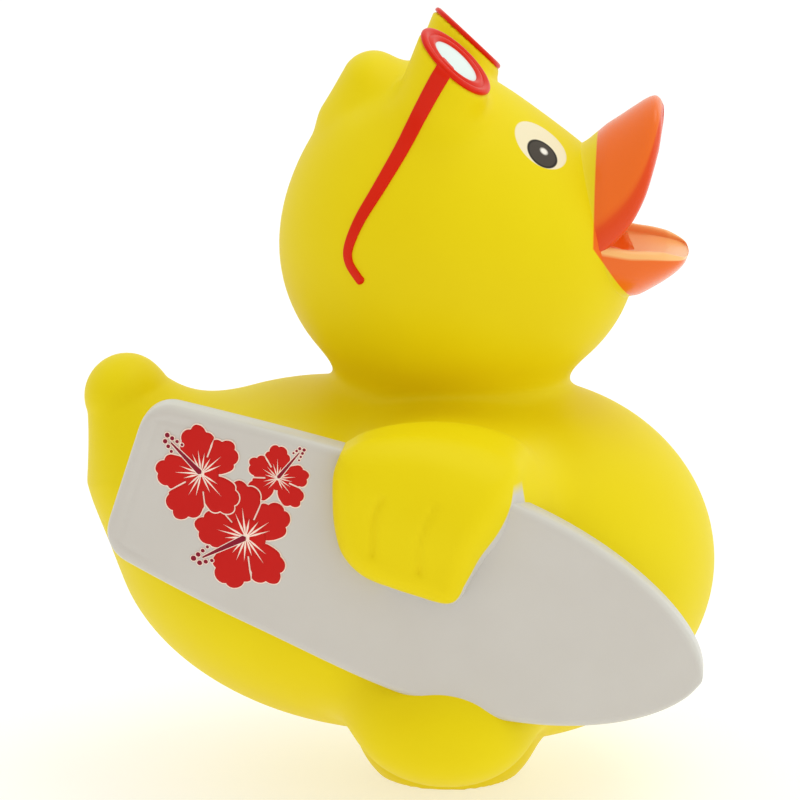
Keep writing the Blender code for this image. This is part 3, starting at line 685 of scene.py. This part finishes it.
@dataclass(frozen=True)
class PaintedVinyl:
    """Satin moulded vinyl with sprayed paint: its soft highlight and warm shade read as a squeeze toy."""

    name: str
    gloss: float = 0.34
    bare: float = 0.46
    shine: float = 0.12
    eye_prints_and_highlight: tuple = EYE_PRINT_AND_HIGHLIGHT
    yellow: str = "#EDD90C"
    deep: str = "#EAD20A"
    orange: str = "#F26E16"
    # Painted shade: the upper bill's band along its lip is a darker orange where the rolled lip turns down,
    # away from the light.
    lip: str = "#E64808"
    # Painted light: the lower bill's inner face and near rim are a lighter orange, as lit from above, and the
    # rim's bright line is a painted highlight.
    inside: str = "#FFC078"
    white: str = "#D2CEC8"
    beak_start: tuple = (21.45, 61.5, 0.62)
    bead_start: tuple = (30.0, 0.32)

    def build(self) -> Finish:
        """Mixes the paint areas over the vinyl's own yellow by their places on the duck, with painted shade
        and painted light on the bills and a painted highlight in each pupil.

        Returns:
            The material.
        """
        sheet = Sheet(bpy.data.materials.new(self.name))
        spot, x, y, z = sheet.place()
        side = sheet.add("Math", (y,), operation="ABSOLUTE")
        beak, white = self.beak(sheet, x, side, z), self.wing_bead(sheet, x, y, z)
        # The orange takes painted shade from the 'lip' share, a darker band on the upper bill, and painted
        # light from the 'inside' share, a lighter inner face and rim on the lower bill.
        paint = linear(self.orange)
        for area, code in (("lip", self.lip), ("inside", self.inside)):
            share = sheet.add("Attribute", out="Fac", attribute_name=area)
            paint = sheet.add("Mix", {0: share, 6: paint, 7: linear(code)}, **MIX)
        cloud = sheet.add("TexNoise", {"Vector": spot, "Scale": 1 / 9.0, "Detail": 3.0}, out="Fac")
        layers = [(cloud, linear(self.deep)), (beak, paint), (white, linear(self.white))]
        mirrored = sheet.add("CombineXYZ", (x, side, z))
        layers += [(self.stamp(sheet, mirrored, mark), linear(mark.colour)) for mark in self.eye_prints_and_highlight]
        colour = linear(self.yellow)
        for share, layer in layers:
            colour = sheet.add("Mix", {0: share, 6: colour, 7: layer}, **MIX)
        painted = sheet.add("Math", (beak, white), operation="MAXIMUM")
        rough = sheet.add("Math", (painted, self.gloss - self.bare, self.bare), operation="MULTIPLY_ADD")
        sheet.surface(spot, rough, self.shine, 0.35, 0.05)
        sheet.feed(sheet.shader.inputs["Base Color"], colour)
        sheet.feed(sheet.shader.inputs["IOR"], 1.46)
        return sheet.owner

    def beak(self, sheet: Sheet, x: Socket, side: Socket, z: Socket) -> Socket:
        """Where the beak's paint lies: ahead of a line that slants below the mouth, and in the throat."""
        start, corner, slant = self.beak_start
        below = sheet.add("Math", (corner, z), operation="SUBTRACT")
        below = sheet.add("Math", (below, 0.0), operation="MAXIMUM")
        line = sheet.add("Math", (below, slant, start), operation="MULTIPLY_ADD")
        ahead = sheet.within((sheet.add("Math", (x, line), operation="SUBTRACT"), 0.0, 0.14))
        throat = sheet.within((side, 6.0, -0.2), (z, 67.8, -0.2), (x, 18.0, 0.2), (z, 57.0, 0.2))
        return sheet.add("Math", (ahead, throat), operation="MAXIMUM")

    def wing_bead(self, sheet: Sheet, x: Socket, y: Socket, z: Socket) -> Socket:
        """Where the board's white paint climbs the front and lower edge of the wing, which rolls inwards."""
        face, (start, roll) = Board().face, self.bead_start
        above = sheet.add("Math", (z, start), operation="SUBTRACT")
        above = sheet.add("Math", (above, 0.0), operation="MAXIMUM")
        unrolled = sheet.add("Math", (above, -roll, y), operation="MULTIPLY_ADD")
        drop = sheet.add("Math", (z, -0.78), operation="MULTIPLY")
        front = sheet.add("Math", (x, 0.62, drop), operation="MULTIPLY_ADD")
        return sheet.within((unrolled, face - 2.3, 0.2), (y, face + 3.0, -0.2), (front, -22.6, 0.8),
                            (z, 25.0, 0.8), (z, 39.6, -1.2))

    def stamp(self, sheet: Sheet, spot: Socket, mark: EyeMark) -> Socket:
        """Where a mark lies, the eye's print and the painted highlight in its pupil alike: within its radius
        of its middle, and less along the eye's slant.
        """
        arm = sheet.add("VectorMath", (spot, mark.middle), operation="SUBTRACT")
        along = sheet.add("VectorMath", (arm, EYE_SLANT), out="Value", operation="DOT_PRODUCT")
        more = sheet.add("Math", (along, mark.squeeze - 1), operation="MULTIPLY")
        push = sheet.add("VectorMath", {0: EYE_SLANT, "Scale": more}, operation="SCALE")
        wide = sheet.add("VectorMath", (arm, push), operation="ADD")
        far = sheet.add("VectorMath", (wide,), out="Value", operation="LENGTH")
        return sheet.within((far, mark.radius, -mark.soft))


@dataclass(frozen=True)
class Coat:
    """A sprayed coat of one paint: faint clouds and a fine orange-peel surface keep it from looking flat."""

    name: str
    light: str
    dark: str
    rough: float
    shine: float = 0.4
    cloud: float = 6.0

    def build(self) -> Finish:
        """Builds the coat on Object coordinates."""
        sheet = Sheet(bpy.data.materials.new(self.name))
        spot = sheet.place()[0]
        cloud = sheet.add("TexNoise", {"Vector": spot, "Scale": 1 / self.cloud, "Detail": 3.0}, out="Fac")
        colour = sheet.add("Mix", {0: cloud, 6: linear(self.light), 7: linear(self.dark)}, **MIX)
        sheet.feed(sheet.shader.inputs["Base Color"], colour)
        sheet.surface(spot, self.rough - 0.03, self.shine, 0.4, 0.06)
        return sheet.owner


# Pieces of the duck


@dataclass
class Piece:
    """What every shown piece needs: the moulding's field to seat it on, and a way to be shown."""

    moulding: Moulding

    def show(self, name: str, skin: tuple, finish: Finish, replaced: str = "") -> Thing:
        """Makes a closed skin an object, gives it its finish and ties it to the duck.

        Args:
            name: the piece's name.
            skin: its vertices and faces.
            finish: its material.
            replaced: the CAD node that it stands for, if any.

        Returns:
            The piece.
        """
        verts, faces = skin
        thing = put(name, verts, outward(verts, faces))
        thing.data.materials.append(finish)
        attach(thing, BODY)
        if replaced:
            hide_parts(replaced)
        LOG.info("%s: %d faces", name, len(thing.data.polygons))
        return thing


@dataclass
class Skin(Piece):
    """The yellow moulding: trunk, tail, foot, head, tuft, bosses, wings and the cradle behind the board.

    The grid's lines are closer together round the right wing. Each span is where they start, where they come
    closer, where they part again and where they end.
    """

    step: float = 0.58
    fine_step: float = 0.4
    spans: tuple = ((-37.2, -6.0, 14.0, 37.0), (-36.0, -35.0, -24.0, 31.5), (-1.4, 27.0, 46.0, 87.0))

    def lines(self, span: tuple) -> Points:
        """The grid lines of a span."""
        runs = zip(span[:-1], span[1:], (self.step, self.fine_step, self.step))
        return np.concatenate([np.arange(low, high, step) for low, high, step in runs])

    def build(self, finish: Finish) -> Thing:
        """Draws the net round the moulding's field and makes it the shown skin."""
        verts, faces = net(self.moulding, [self.lines(span) for span in self.spans])
        verts = onto(self.moulding, verts, 2)
        verts[:, 2] = np.maximum(verts[:, 2], 0.0)
        return self.show("vinyl_skin", (verts, faces), finish, "duck_body")


@dataclass
class Bill(Piece):
    """A bill: crescent sections between a crown line on the middle plane and a rounded lip at both sides."""

    name: str = "upper_bill"
    crown: tuple = ()
    lip: tuple = ()
    half_width: float = 9.0
    root_spread: float = 0.1
    fullness: float = 2.6
    wall: float = 1.9
    hollow: float = 1.0
    # The mark names the share that the orange finish reads: 'lip' gives the upper bill's band a darker orange
    # as painted shade, 'inside' gives the lower bill's inner face and rim a lighter orange as painted light.
    mark: str = "lip"
    rim: float = 4.4
    rim_fade: float = 1.6
    root: tuple = (20.2, 61.2)
    root_fall: float = 0.1
    root_fade: float = 2.4
    root_sink: float = 0.12
    stations: int = 84
    arc: int = 57
    turn: int = 11

    def build(self, finish: Finish) -> Thing:
        """Lofts the bill.

        At each station the outer arc is half an ellipse from lip to lip over the crown, the inner arc is the
        same less the wall, and half circles join them at the lips. The finish reads the share that is kept as
        the mark: 1 on the inner arc and the rim, and falling over the outermost points of the outer arc. On
        the upper bill this share darkens the orange as painted shade; on the lower bill it lightens it as
        painted light.

        Args:
            finish: the orange paint.

        Returns:
            The bill.
        """
        s = np.sin(np.linspace(0, math.pi / 2, self.stations)) * 0.9995
        crown, lip = self.at(self.crown, s), self.at(self.lip, s)
        h = np.linalg.norm(crown - lip, axis=1)[:, None]
        d = (crown - lip) / np.maximum(h, 1e-6)
        spread = 1 + self.root_spread * (1 - s) ** 2
        w = (self.half_width * spread * np.sqrt(1 - s**self.fullness))[:, None]
        t = np.minimum(self.wall, np.minimum(0.9 * w, 0.45 * h))
        a = np.linspace(0, math.pi, self.arc)[None, :]
        b = np.linspace(0, math.pi, self.turn + 2)[1:-1][None, :]
        middle, ahead, under = w - t / 2, t / 2 * np.cos(b), -t / 2 * np.sin(b)
        y = np.hstack([-w * np.cos(a), middle + ahead, (w - t) * np.cos(a), -middle + ahead])
        rise = np.hstack([h * np.sin(a), under, self.hollow * (h - t) * np.sin(a), under])
        rings = np.stack([lip[:, :1] + d[:, :1] * rise, y, lip[:, 1:] + d[:, 1:] * rise], -1)
        rings[:, :self.arc] = self.rooted(rings[:, :self.arc])
        thing = self.show(self.name, capped(rings), finish)
        near = np.minimum(np.arange(self.arc), np.arange(self.arc)[::-1])
        share = np.ones(rings.shape[:2])
        share[:, :self.arc] = np.clip((self.rim - near) / self.rim_fade, 0, 1)
        attribute = thing.data.attributes.new(self.mark, "FLOAT", "POINT")
        attribute.data.foreach_set("value", np.append(share.ravel(), [0.0, 0.0]))
        return thing

    def rooted(self, outside: Points) -> Points:
        """The outer arcs, sunk into the head behind a line that curves forwards below the mouth."""
        head = self.moulding.head
        sunk = onto(head, outside, 3) - self.root_sink * slope(head, outside)
        line = self.root[0] + self.root_fall * np.maximum(0.0, self.root[1] - outside[..., 2:]) ** 2
        hold = 1 - ease((outside[..., :1] - line) / self.root_fade)
        return outside * (1 - hold) + sunk * hold

    def at(self, points: tuple, s: Points) -> Points:
        """Places along a smooth line at shares s of its run."""
        fine = smooth_run(points, 400)
        n = s * 399
        i = np.minimum(n.astype(int), 398)
        f = (n - i)[:, None]
        return fine[i] * (1 - f) + fine[i + 1] * f


@dataclass
class Surfboard(Piece):
    """The white board: rounded flat sections along its axis, and a fine line pressed inside its rear end."""

    edge: float = 1.0
    line_inset: float = 1.7
    line_depth: float = 0.10
    line_width: float = 0.3
    line_end: float = 3.0
    line_fade: float = 4.0
    stations: int = 170
    across: int = 61
    turn: int = 7

    def build(self, finish: Finish) -> Thing:
        """Carries a rounded flat section along the board, closer together at both ends.

        A section runs over the face, round one edge to the back, over the back and round the other edge.
        Where two runs meet, the point that both have is kept once.

        Args:
            finish: the white paint.

        Returns:
            The board.
        """
        board, across, turn = self.moulding.board, self.across, self.turn
        u = board.length * (1 - np.cos(np.linspace(0, math.pi, self.stations))) / 2
        u[-1] = board.length - 0.002
        u = u[:, None]
        w = board.half_width(u)
        r = np.minimum(self.edge, 0.95 * w)
        nose = np.clip(board.length - u, 0, self.edge * 1.2) / (self.edge * 1.2)
        tail = np.clip(u, 0, self.edge) / self.edge
        inset = r * (1 - np.sqrt(1 - (1 - tail) ** 2)) + 0.5 * (1 - np.sqrt(1 - (1 - nose) ** 2))
        k = np.sin(np.linspace(-math.pi / 2, math.pi / 2, across))[None, :]
        a = np.linspace(0, math.pi / 2, turn)[None, :]
        flat, out, up = w - r, r * np.sin(a), r * np.cos(a)
        v = np.hstack([k * flat, flat + out, flat + up, -k * flat, -flat - out, -flat - up])
        back = board.thickness - inset
        front, rear = inset + 0 * k, back + 0 * k
        depth = np.hstack([front, inset + r - up, back - r + out, rear, back - r + up, inset + r - out])
        inside = np.minimum(w - np.abs(v), u)
        pressed = self.line_depth * (1 - ease((u - self.line_end) / self.line_fade))
        pressed = pressed * np.exp(-(((inside - self.line_inset) / self.line_width) ** 2))
        depth[:, :across] += pressed[:, :across]
        joints = np.cumsum([across, turn, turn, across, turn])
        rings = np.delete(board.place(u, v, depth), [*joints, v.shape[1] - 1], axis=1)
        return self.show("surfboard", capped(rings), finish)


FRAME_BEADS = ((4.80, -0.1), (4.70, 0.12), (4.36, 0.24), (4.00, 0.12), (3.86, 0.02), (3.70, 0.10),
               (3.36, 0.22), (3.00, 0.10), (2.82, -0.15), (2.84, -0.3), (3.6, -0.34), (4.4, -0.34),
               (4.72, -0.28))


@dataclass
class Glasses(Piece):
    """The eyes of the glasses: round frames with two beads, their lenses, and the bar between them."""

    lens_radius: float = 2.95
    lens_dome: float = 0.26
    lens_sink: float = 0.12
    bar_reach: float = 4.8
    bar_drop: float = 1.3
    bar_arch: float = 0.4
    bar_half: tuple = (0.8, 0.5)

    def build(self, side: Side, red: Finish, glass: Finish) -> None:
        """Turns the frame's closed profile about the lens's own axis, and domes the lens in it.

        Args:
            side: which eye.
            red: the frame's paint.
            glass: the lens's paint.
        """
        lens, tag = Lens(side), side.name.lower()
        run = smooth_run((*FRAME_BEADS, FRAME_BEADS[0]), 8 * len(FRAME_BEADS) + 1)[:-1]
        ring = circle(96)[:, None]
        local = np.concatenate([run[:, :1] * ring, np.broadcast_to(run[:, 1:], (96, len(run), 1))], -1)
        faces = grid_faces(96, len(run), Turn.RING, Turn.RING)
        self.show(f"frame_{tag}", ((lens.middle + local @ lens.axes).reshape(-1, 3), faces), red)
        t = np.linspace(0, math.pi, 26)[1:-1, None, None]
        dome = np.broadcast_to(self.lens_dome * np.cos(t) - self.lens_sink, (24, 72, 1))
        local = np.concatenate([self.lens_radius * np.sin(t) ** 0.6 * circle(72), dome], -1)
        self.show(f"lens_{tag}", capped(lens.middle + local @ lens.axes), glass)

    def bridge(self, red: Finish) -> Thing:
        """A short bar between the two frames, a little arched."""
        t = np.linspace(-1, 1, 25)
        lens = Lens(Side.LEFT)
        x, _, z = lens.middle - lens.axes[2] * 0.1
        height = z - self.bar_drop + self.bar_arch * (1 - t**2)
        path = np.stack([np.full(25, x - 0.1), t * self.bar_reach, height], -1)
        sides = np.array([[0.75, 0.0, -0.65], [0.65, 0.0, 0.75]]) * np.array(self.bar_half)[:, None]
        return self.show("glasses_bridge", capped(path[:, None] + circle(24) @ sides), red)


ARM_RUN = ((6.1, 81.4), (4.9, 79.4), (3.2, 76.2), (1.35, 72.5), (-0.9, 68.6), (-2.9, 65.2), (-4.05, 62.3),
           (-4.0, 60.7), (-3.1, 59.3), (-2.5, 58.6))


@dataclass
class TempleArm(Piece):
    """A glasses arm in low relief, dropped sideways onto the head."""

    width_start: float = 0.98
    width_end: float = 0.5
    relief: float = 0.26
    squareness: float = 0.4
    tip_share: float = 0.045
    stations: int = 120

    def build(self, side: Side, red: Finish) -> Thing:
        """A low rounded profile, |cos|^0.4 by |sin|^0.4, carried down the head and hooked at its end.

        Args:
            side: which side of the head.
            red: the paint.

        Returns:
            The arm.
        """
        run = smooth_run(ARM_RUN, self.stations)
        path = self.moulding.drop(run[:, 0], run[:, 1], side)
        out = slope(self.moulding, path)
        across = np.cross(np.gradient(path, axis=0), out)
        across /= np.linalg.norm(across, axis=1)[:, None]
        t = np.linspace(0, 1, self.stations)
        width = self.width_start + (self.width_end - self.width_start) * ease(t * 1.15)
        ending = np.clip((t - 1 + self.tip_share) / self.tip_share, 0, 1)
        tip = np.sqrt(np.clip(1 - ending**2, 0.0025, 1))
        ring = circle(32)
        profile = np.sign(ring) * np.abs(ring) ** self.squareness
        rings = path[:, None] + profile[None, :, :1] * (across * (width * tip)[:, None])[:, None]
        rings = onto(self.moulding, rings, 2)
        rings = rings + profile[None, :, 1:] * (out * (self.relief * tip)[:, None])[:, None]
        return self.show(f"temple_arm_{side.name.lower()}", capped(rings), red)


@dataclass(frozen=True)
class Blossom:
    """A hibiscus blossom in side view: its middle, its petals' ways and lengths, its stamen's tip."""

    middle: tuple
    petals: tuple
    stamen: tuple
    layer: int
    seed: float = 0.0

    @property
    def size(self) -> float:
        """The mean length of its petals."""
        return float(np.mean([length for _, length in self.petals]))


BLOSSOMS = (
    Blossom((-10.2, 40.4), ((90, 3.5), (150, 3.4), (212, 3.5), (310, 3.6), (6, 3.3)), (-7.9, 43.2), 0, 0.4),
    Blossom((-13.6, 33.9), ((96, 6.0), (36, 5.4), (303, 5.8), (248, 6.1), (168, 5.5)), (-18.3, 31.3), 1, 1.3),
    Blossom((-18.3, 40.5), ((97, 5.1), (42, 4.8), (313, 5.1), (240, 5.6), (180, 4.9)), (-21.5, 43.6), 2, 2.2),
)


@dataclass
class Blossoms(Piece):
    """The printed blossoms: closed films on the board, each a few thousandths of a millimetre higher."""

    lift: float = 0.012
    step: float = 0.003
    layers: int = 14
    line: float = 0.13
    gap: float = 0.09
    petal_width: float = 0.37
    scallop: float = 0.2
    widest_share: float = 0.75
    disc_share: float = 0.37
    stamen_line: float = 0.08
    dots: int = 7

    def film(self, outline: Points, height: float, rings: int = 6) -> tuple:
        """A closed film over a star-shaped outline in the board's plan.

        Args:
            outline: the outline's points (count, 2), in order.
            height: how far its top lies off the board.
            rings: how many rings of points lie between its middle and its rim.

        Returns:
            The vertices and the faces: copies of the outline shrunk about its middle, on top and below.
        """
        middle = outline.mean(0)
        flat = middle + np.linspace(0, 1, rings + 1)[1:, None, None] * (outline - middle)
        both = np.concatenate([flat, flat[::-1]])
        depth = np.repeat([-height, 0.02], rings)[:, None]
        verts, faces = capped(self.moulding.board.place(both[..., 0], both[..., 1], depth))
        return verts, outward(verts, faces)

    def petal(self, length: float, low: float, high: float, seed: float) -> Points:
        """A petal's outline in its own plan, along +X from the blossom's middle.

        Its half width swells as sin(pi t^1.35)^0.6 and stays inside its share of the circle, and its outer
        rim is scalloped by the wave |sin(3.1 a)|^0.7 about its own middle.

        Args:
            length: from the blossom's middle to the petal's tip.
            low: angle in radians down to the neighbour below it.
            high: angle up to the neighbour above it.
            seed: shifts the scallops.

        Returns:
            The outline's points (count, 2).
        """
        t = np.sin(np.linspace(0.02, math.pi / 2, 44)) ** 1.2
        natural = self.petal_width * length * np.sin(math.pi * np.clip(t, 0, 1) ** 1.35) ** 0.6
        shares = [t * length * math.tan(part) - self.gap for part in (low, high)]
        lower, upper = (np.maximum(np.minimum(natural, share), 0.02) for share in shares)
        outline = np.vstack([np.stack([t * length, -lower], -1), np.stack([t * length, upper], -1)[::-1]])
        middle = np.array([0.6 * length, 0.0])
        arm = outline - middle
        turn = np.arctan2(arm[:, 1], arm[:, 0])
        wave = np.abs(np.sin(3.1 * turn + seed)) ** 0.7 - 0.75
        return middle + arm * (1 + self.scallop * wave * ease((np.cos(turn) + 0.35) / 0.8))[:, None]

    def star(self, blossom: Blossom) -> Points:
        """Rays out of the blossom's middle, three on each petal, as one star-shaped outline."""
        size, corners = blossom.size, []
        for way, length in blossom.petals:
            for turn, reach in ((-17.0, 0.42), (0.0, 0.56), (17.0, 0.44)):
                share = reach * (1 + 0.12 * math.sin(way + turn + blossom.seed))
                corners += [(way + turn - 8.0, 0.07), (way + turn - 5.4, 0.2), (way + turn, share),
                            (way + turn + 5.4, 0.2), (way + turn + 8.0, 0.07)]
        order = np.array(sorted(((way + 360) % 360, share) for way, share in corners))
        turn = np.radians(order[:, 0])
        return size * order[:, 1:] * np.stack([np.cos(turn), np.sin(turn)], -1)

    def stamen(self, length: float, size: float, spare: float) -> list:
        """The stamen's outline along +X and those of the dots round its tip.

        Args:
            length: from the blossom's middle to the stamen's tip.
            size: the blossom's size.
            spare: how much larger each outline is drawn.

        Returns:
            The outlines.
        """
        t = np.linspace(0, 1, 30)
        root = np.sqrt(np.clip(1 - (1 - t / 0.06).clip(0, 1) ** 2, 0.02, 1))
        half = size * (0.045 * (1 - t) ** 0.8 + 0.014) * root + spare
        x = -spare + t * (length + 1.5 * spare)
        outlines = [np.vstack([np.stack([x, -half], -1), np.stack([x, half], -1)[::-1]])]
        for n in range(self.dots):
            side = 1 if n % 2 else -1
            middle = np.array([length + (0.16 - 0.058 * n) * size, side * (0.055 + 0.014 * n) * size])
            outlines.append(middle + circle(20) * ((0.052 - 0.0035 * n) * size + spare))
        return outlines

    def laid(self, blossom: Blossom, outline: Points, way: float, level: int) -> tuple:
        """An outline turned, moved to its blossom and made a film at its level."""
        c, s = math.cos(way), math.sin(way)
        origin = np.array(self.moulding.board.plan(*blossom.middle))
        height = self.lift + (blossom.layer * self.layers + level) * self.step
        return self.film(origin + outline @ np.array([[c, s], [-s, c]]), height)

    def build(self, red: Finish, cream: Finish, dark: Finish) -> None:
        """Lays the films: outlines, petals, the red round the middle, rays, then the stamen with its dots.

        Args:
            red: the petals' ink.
            cream: the ink of the outlines and the rays.
            dark: the stamens' ink.
        """
        fall = math.radians(self.moulding.board.fall)
        petals, lines, stamens = [], [], []
        for blossom in BLOSSOMS:
            ways = [math.radians(way) + fall for way, _ in blossom.petals]
            for n, (way, (_, length)) in enumerate(zip(ways, blossom.petals)):
                gaps = [(other - way) % (2 * math.pi) for k, other in enumerate(ways) if k != n]
                high, low = min(gaps) / 2, (2 * math.pi - max(gaps)) / 2
                high, low = min(high, self.widest_share), min(low, self.widest_share)
                outline = self.petal(length, low, high, blossom.seed + 1.7 * n)
                arm = outline - np.array([0.55 * length, 0.0])
                wider = outline + self.line * arm / np.linalg.norm(arm, axis=1)[:, None]
                lines.append(self.laid(blossom, wider, way, n))
                petals.append(self.laid(blossom, outline, way, 5 + n))
            petals.append(self.laid(blossom, self.disc_share * blossom.size * circle(40), 0.0, 10))
            lines.append(self.laid(blossom, self.star(blossom), fall, 11))
            board = self.moulding.board
            tip = np.array(board.plan(*blossom.stamen)) - np.array(board.plan(*blossom.middle))
            way, length = math.atan2(tip[1], tip[0]), float(np.hypot(*tip))
            for pile, spare, level in ((lines, self.stamen_line, 12), (stamens, 0.0, 13)):
                parts = self.stamen(length, blossom.size, spare)
                pile += [self.laid(blossom, part, way, level) for part in parts]
        names = ("blossom_petals", "blossom_lines", "blossom_stamens")
        for name, films, finish in zip(names, (petals, lines, stamens), (red, cream, dark)):
            starts = np.cumsum([0] + [len(verts) for verts, _ in films[:-1]])
            faces = np.concatenate([part + start for (_, part), start in zip(films, starts)])
            self.show(name, (np.concatenate([verts for verts, _ in films]), faces), finish)


# Surroundings


@dataclass(frozen=True)
class Studio:
    """A white sweep under a large soft light, with the camera where the photograph was taken.

    The room's colour goes from front to back along the direction bright.
    """

    azimuth: float = 5.0
    elevation: float = 13.0
    distance: float = 450.0
    target: tuple = (0.0, 0.0, 42.3)
    seen_width: float = 88.0
    sensor: float = 36.0
    bright: tuple = (0.20, 0.70, 0.60)
    front: tuple = (0.66, 0.555, 0.49)
    back: tuple = (1.0, 1.04, 1.0)
    lamp_tint: tuple = (0.86, 1.0, 0.90)
    floor_half: float = 4000.0
    floor_glow: float = 0.48

    def camera(self) -> None:
        """Sets the camera."""
        a, e = math.radians(self.azimuth), math.radians(self.elevation)
        way = np.array([math.sin(a) * math.cos(e), -math.cos(a) * math.cos(e), math.sin(e)])
        data = bpy.data.cameras.new("camera")
        data.sensor_width = self.sensor
        data.lens = self.sensor * self.distance / self.seen_width
        data.clip_start, data.clip_end = 0.01, 20.0
        thing = bpy.data.objects.new("camera", data)
        bpy.context.scene.collection.objects.link(thing)
        thing.location = (np.array(self.target) + way * self.distance) * MM + SHIFT
        thing.rotation_euler = Vector(-way).to_track_quat("-Z", "Y").to_euler()
        bpy.context.scene.camera = thing

    def lamp(self, name: str, place: tuple, size: float, power: float) -> None:
        """A square soft lamp that faces the duck.

        Args:
            name: the lamp's name.
            place: where it hangs, in millimetres.
            size: its side in millimetres.
            power: its power in watts.
        """
        data = bpy.data.lights.new(name, "AREA")
        data.size, data.energy, data.color = size * MM, power, self.lamp_tint
        thing = bpy.data.objects.new(name, data)
        bpy.context.scene.collection.objects.link(thing)
        thing.location = np.array(place) * MM
        way = Vector((-place[0], -place[1], 40.0 - place[2]))
        thing.rotation_euler = way.to_track_quat("-Z", "Y").to_euler()

    def light(self) -> None:
        """Soft lamps above and ahead, in a white room that is brighter above and behind than in front."""
        self.lamp("lamp_above", (160, 60, 520), 320, 0.5)
        self.lamp("lamp_ahead", (520, 20, 180), 300, 0.2)
        world = bpy.data.worlds.new("white_room")
        bpy.context.scene.world = world
        sheet = Sheet(world)
        way = sheet.add("TexCoord", out="Generated")
        height = sheet.add("VectorMath", (way, self.bright), out="Value", operation="DOT_PRODUCT")
        share = sheet.add("Math", (height, 0.5, 0.5), operation="MULTIPLY_ADD", use_clamp=True)
        room = sheet.add("Mix", {0: share, 6: (*self.front, 1.0), 7: (*self.back, 1.0)}, **MIX)
        seen = sheet.add("LightPath", out="Is Camera Ray")
        ground = sheet.tree.nodes["Background"]
        sheet.feed(ground.inputs["Color"], sheet.add("Mix", {0: seen, 6: room, 7: (1, 1, 1, 1)}, **MIX))
        sheet.feed(ground.inputs["Strength"], 1.0)

    def floor(self) -> None:
        """A wide white floor, a little below the foot, that keeps a soft shadow."""
        half = self.floor_half
        corners = [[-half, -half, -0.02], [half, -half, -0.02], [half, half, -0.02], [-half, half, -0.02]]
        thing = put("floor", np.array(corners), np.array([[0, 1, 2, 3]]), smooth=False)
        sheet = Sheet(bpy.data.materials.new("white_floor"))
        values = {"Base Color": linear("#CCCCCC"), "Roughness": 0.9, "Emission Color": (1, 1, 1, 1),
                  "Emission Strength": self.floor_glow}
        for name, value in values.items():
            sheet.feed(sheet.shader.inputs[name], value)
        thing.data.materials.append(sheet.owner)


def squeaker() -> None:
    """Gives the squeaker's two kept pieces better finishes."""
    finishes = (("squeaker_housing", Coat("white_polyethylene", "#E6E4DE", "#D6D3CB", 0.42)),
                ("squeaker_reed", Coat("milky_polyethylene", "#DDE2E2", "#C6CCCE", 0.32)))
    for node, finish in finishes:
        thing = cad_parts[node]
        thing.data.materials.clear()
        thing.data.materials.append(finish.build())


# The upper bill keeps the mark 'lip': a band along its lip that the finish paints darker orange, as painted
# shade.
UPPER = {
    "crown": ((17.0, 69.6), (19.4, 71.7), (21.4, 72.7), (23.6, 74.1), (25.2, 75.2), (26.6, 76.1),
              (27.5, 76.4), (28.1, 76.1)),
    "lip": ((18.6, 60.3), (20.8, 60.6), (23.0, 62.3), (25.0, 64.4), (26.5, 67.1), (27.5, 70.2), (28.2, 73.4),
            (28.4, 75.5)),
}
LOWER = {
    "crown": ((18.6, 53.6), (20.8, 53.3), (23.4, 53.8), (25.8, 54.7), (27.8, 55.8), (29.7, 57.1),
              (30.8, 58.2), (31.3, 59.0)),
    "lip": ((18.6, 61.4), (20.8, 61.2), (22.8, 60.8), (25.2, 60.3), (27.4, 60.1), (29.4, 59.8), (30.8, 59.5),
            (31.4, 59.3)),
    # The mark 'inside' paints the lower bill's inner face and rim a lighter orange: painted light.
    "wall": 1.4, "half_width": 8.9, "hollow": 0.3, "mark": "inside", "rim": 1.0, "rim_fade": 1.0,
}


def main() -> None:
    """Builds the duck, its finishes and the studio."""
    logging.basicConfig(level=logging.INFO)
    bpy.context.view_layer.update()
    moulding = Moulding()
    vinyl = PaintedVinyl("painted_yellow_vinyl").build()
    orange = PaintedVinyl("orange_gloss_on_vinyl", gloss=0.20, shine=0.4, eye_prints_and_highlight=()).build()
    white = Coat("white_gloss_paint", "#D0CDC8", "#CAC6C0", 0.34).build()
    red = Coat("red_gloss_paint", "#E02402", "#D61E02", 0.30, 0.14).build()
    glass = Coat("pale_lens_paint", "#E4F0EF", "#D9E8E8", 0.20).build()
    Skin(moulding).build(vinyl)
    Bill(moulding, "upper_bill", **UPPER).build(orange)
    Bill(moulding, "lower_bill", **LOWER).build(orange)
    Surfboard(moulding).build(white)
    glasses = Glasses(moulding)
    for side in Side:
        glasses.build(side, red, glass)
        TempleArm(moulding).build(side, red)
    glasses.bridge(red)
    Blossoms(moulding).build(Coat("blossom_red_ink", "#CE1A14", "#C21611", 0.40, 0.15).build(),
                             Coat("blossom_cream_ink", "#FFE8DC", "#FBE2D2", 0.40, 0.2).build(),
                             Coat("blossom_crimson_ink", "#921630", "#80122A", 0.40, 0.15).build())
    squeaker()
    bpy.context.scene.view_settings.view_transform = "Standard"
    studio = Studio()
    studio.camera()
    studio.light()
    studio.floor()


if __name__ == "__main__":
    main()
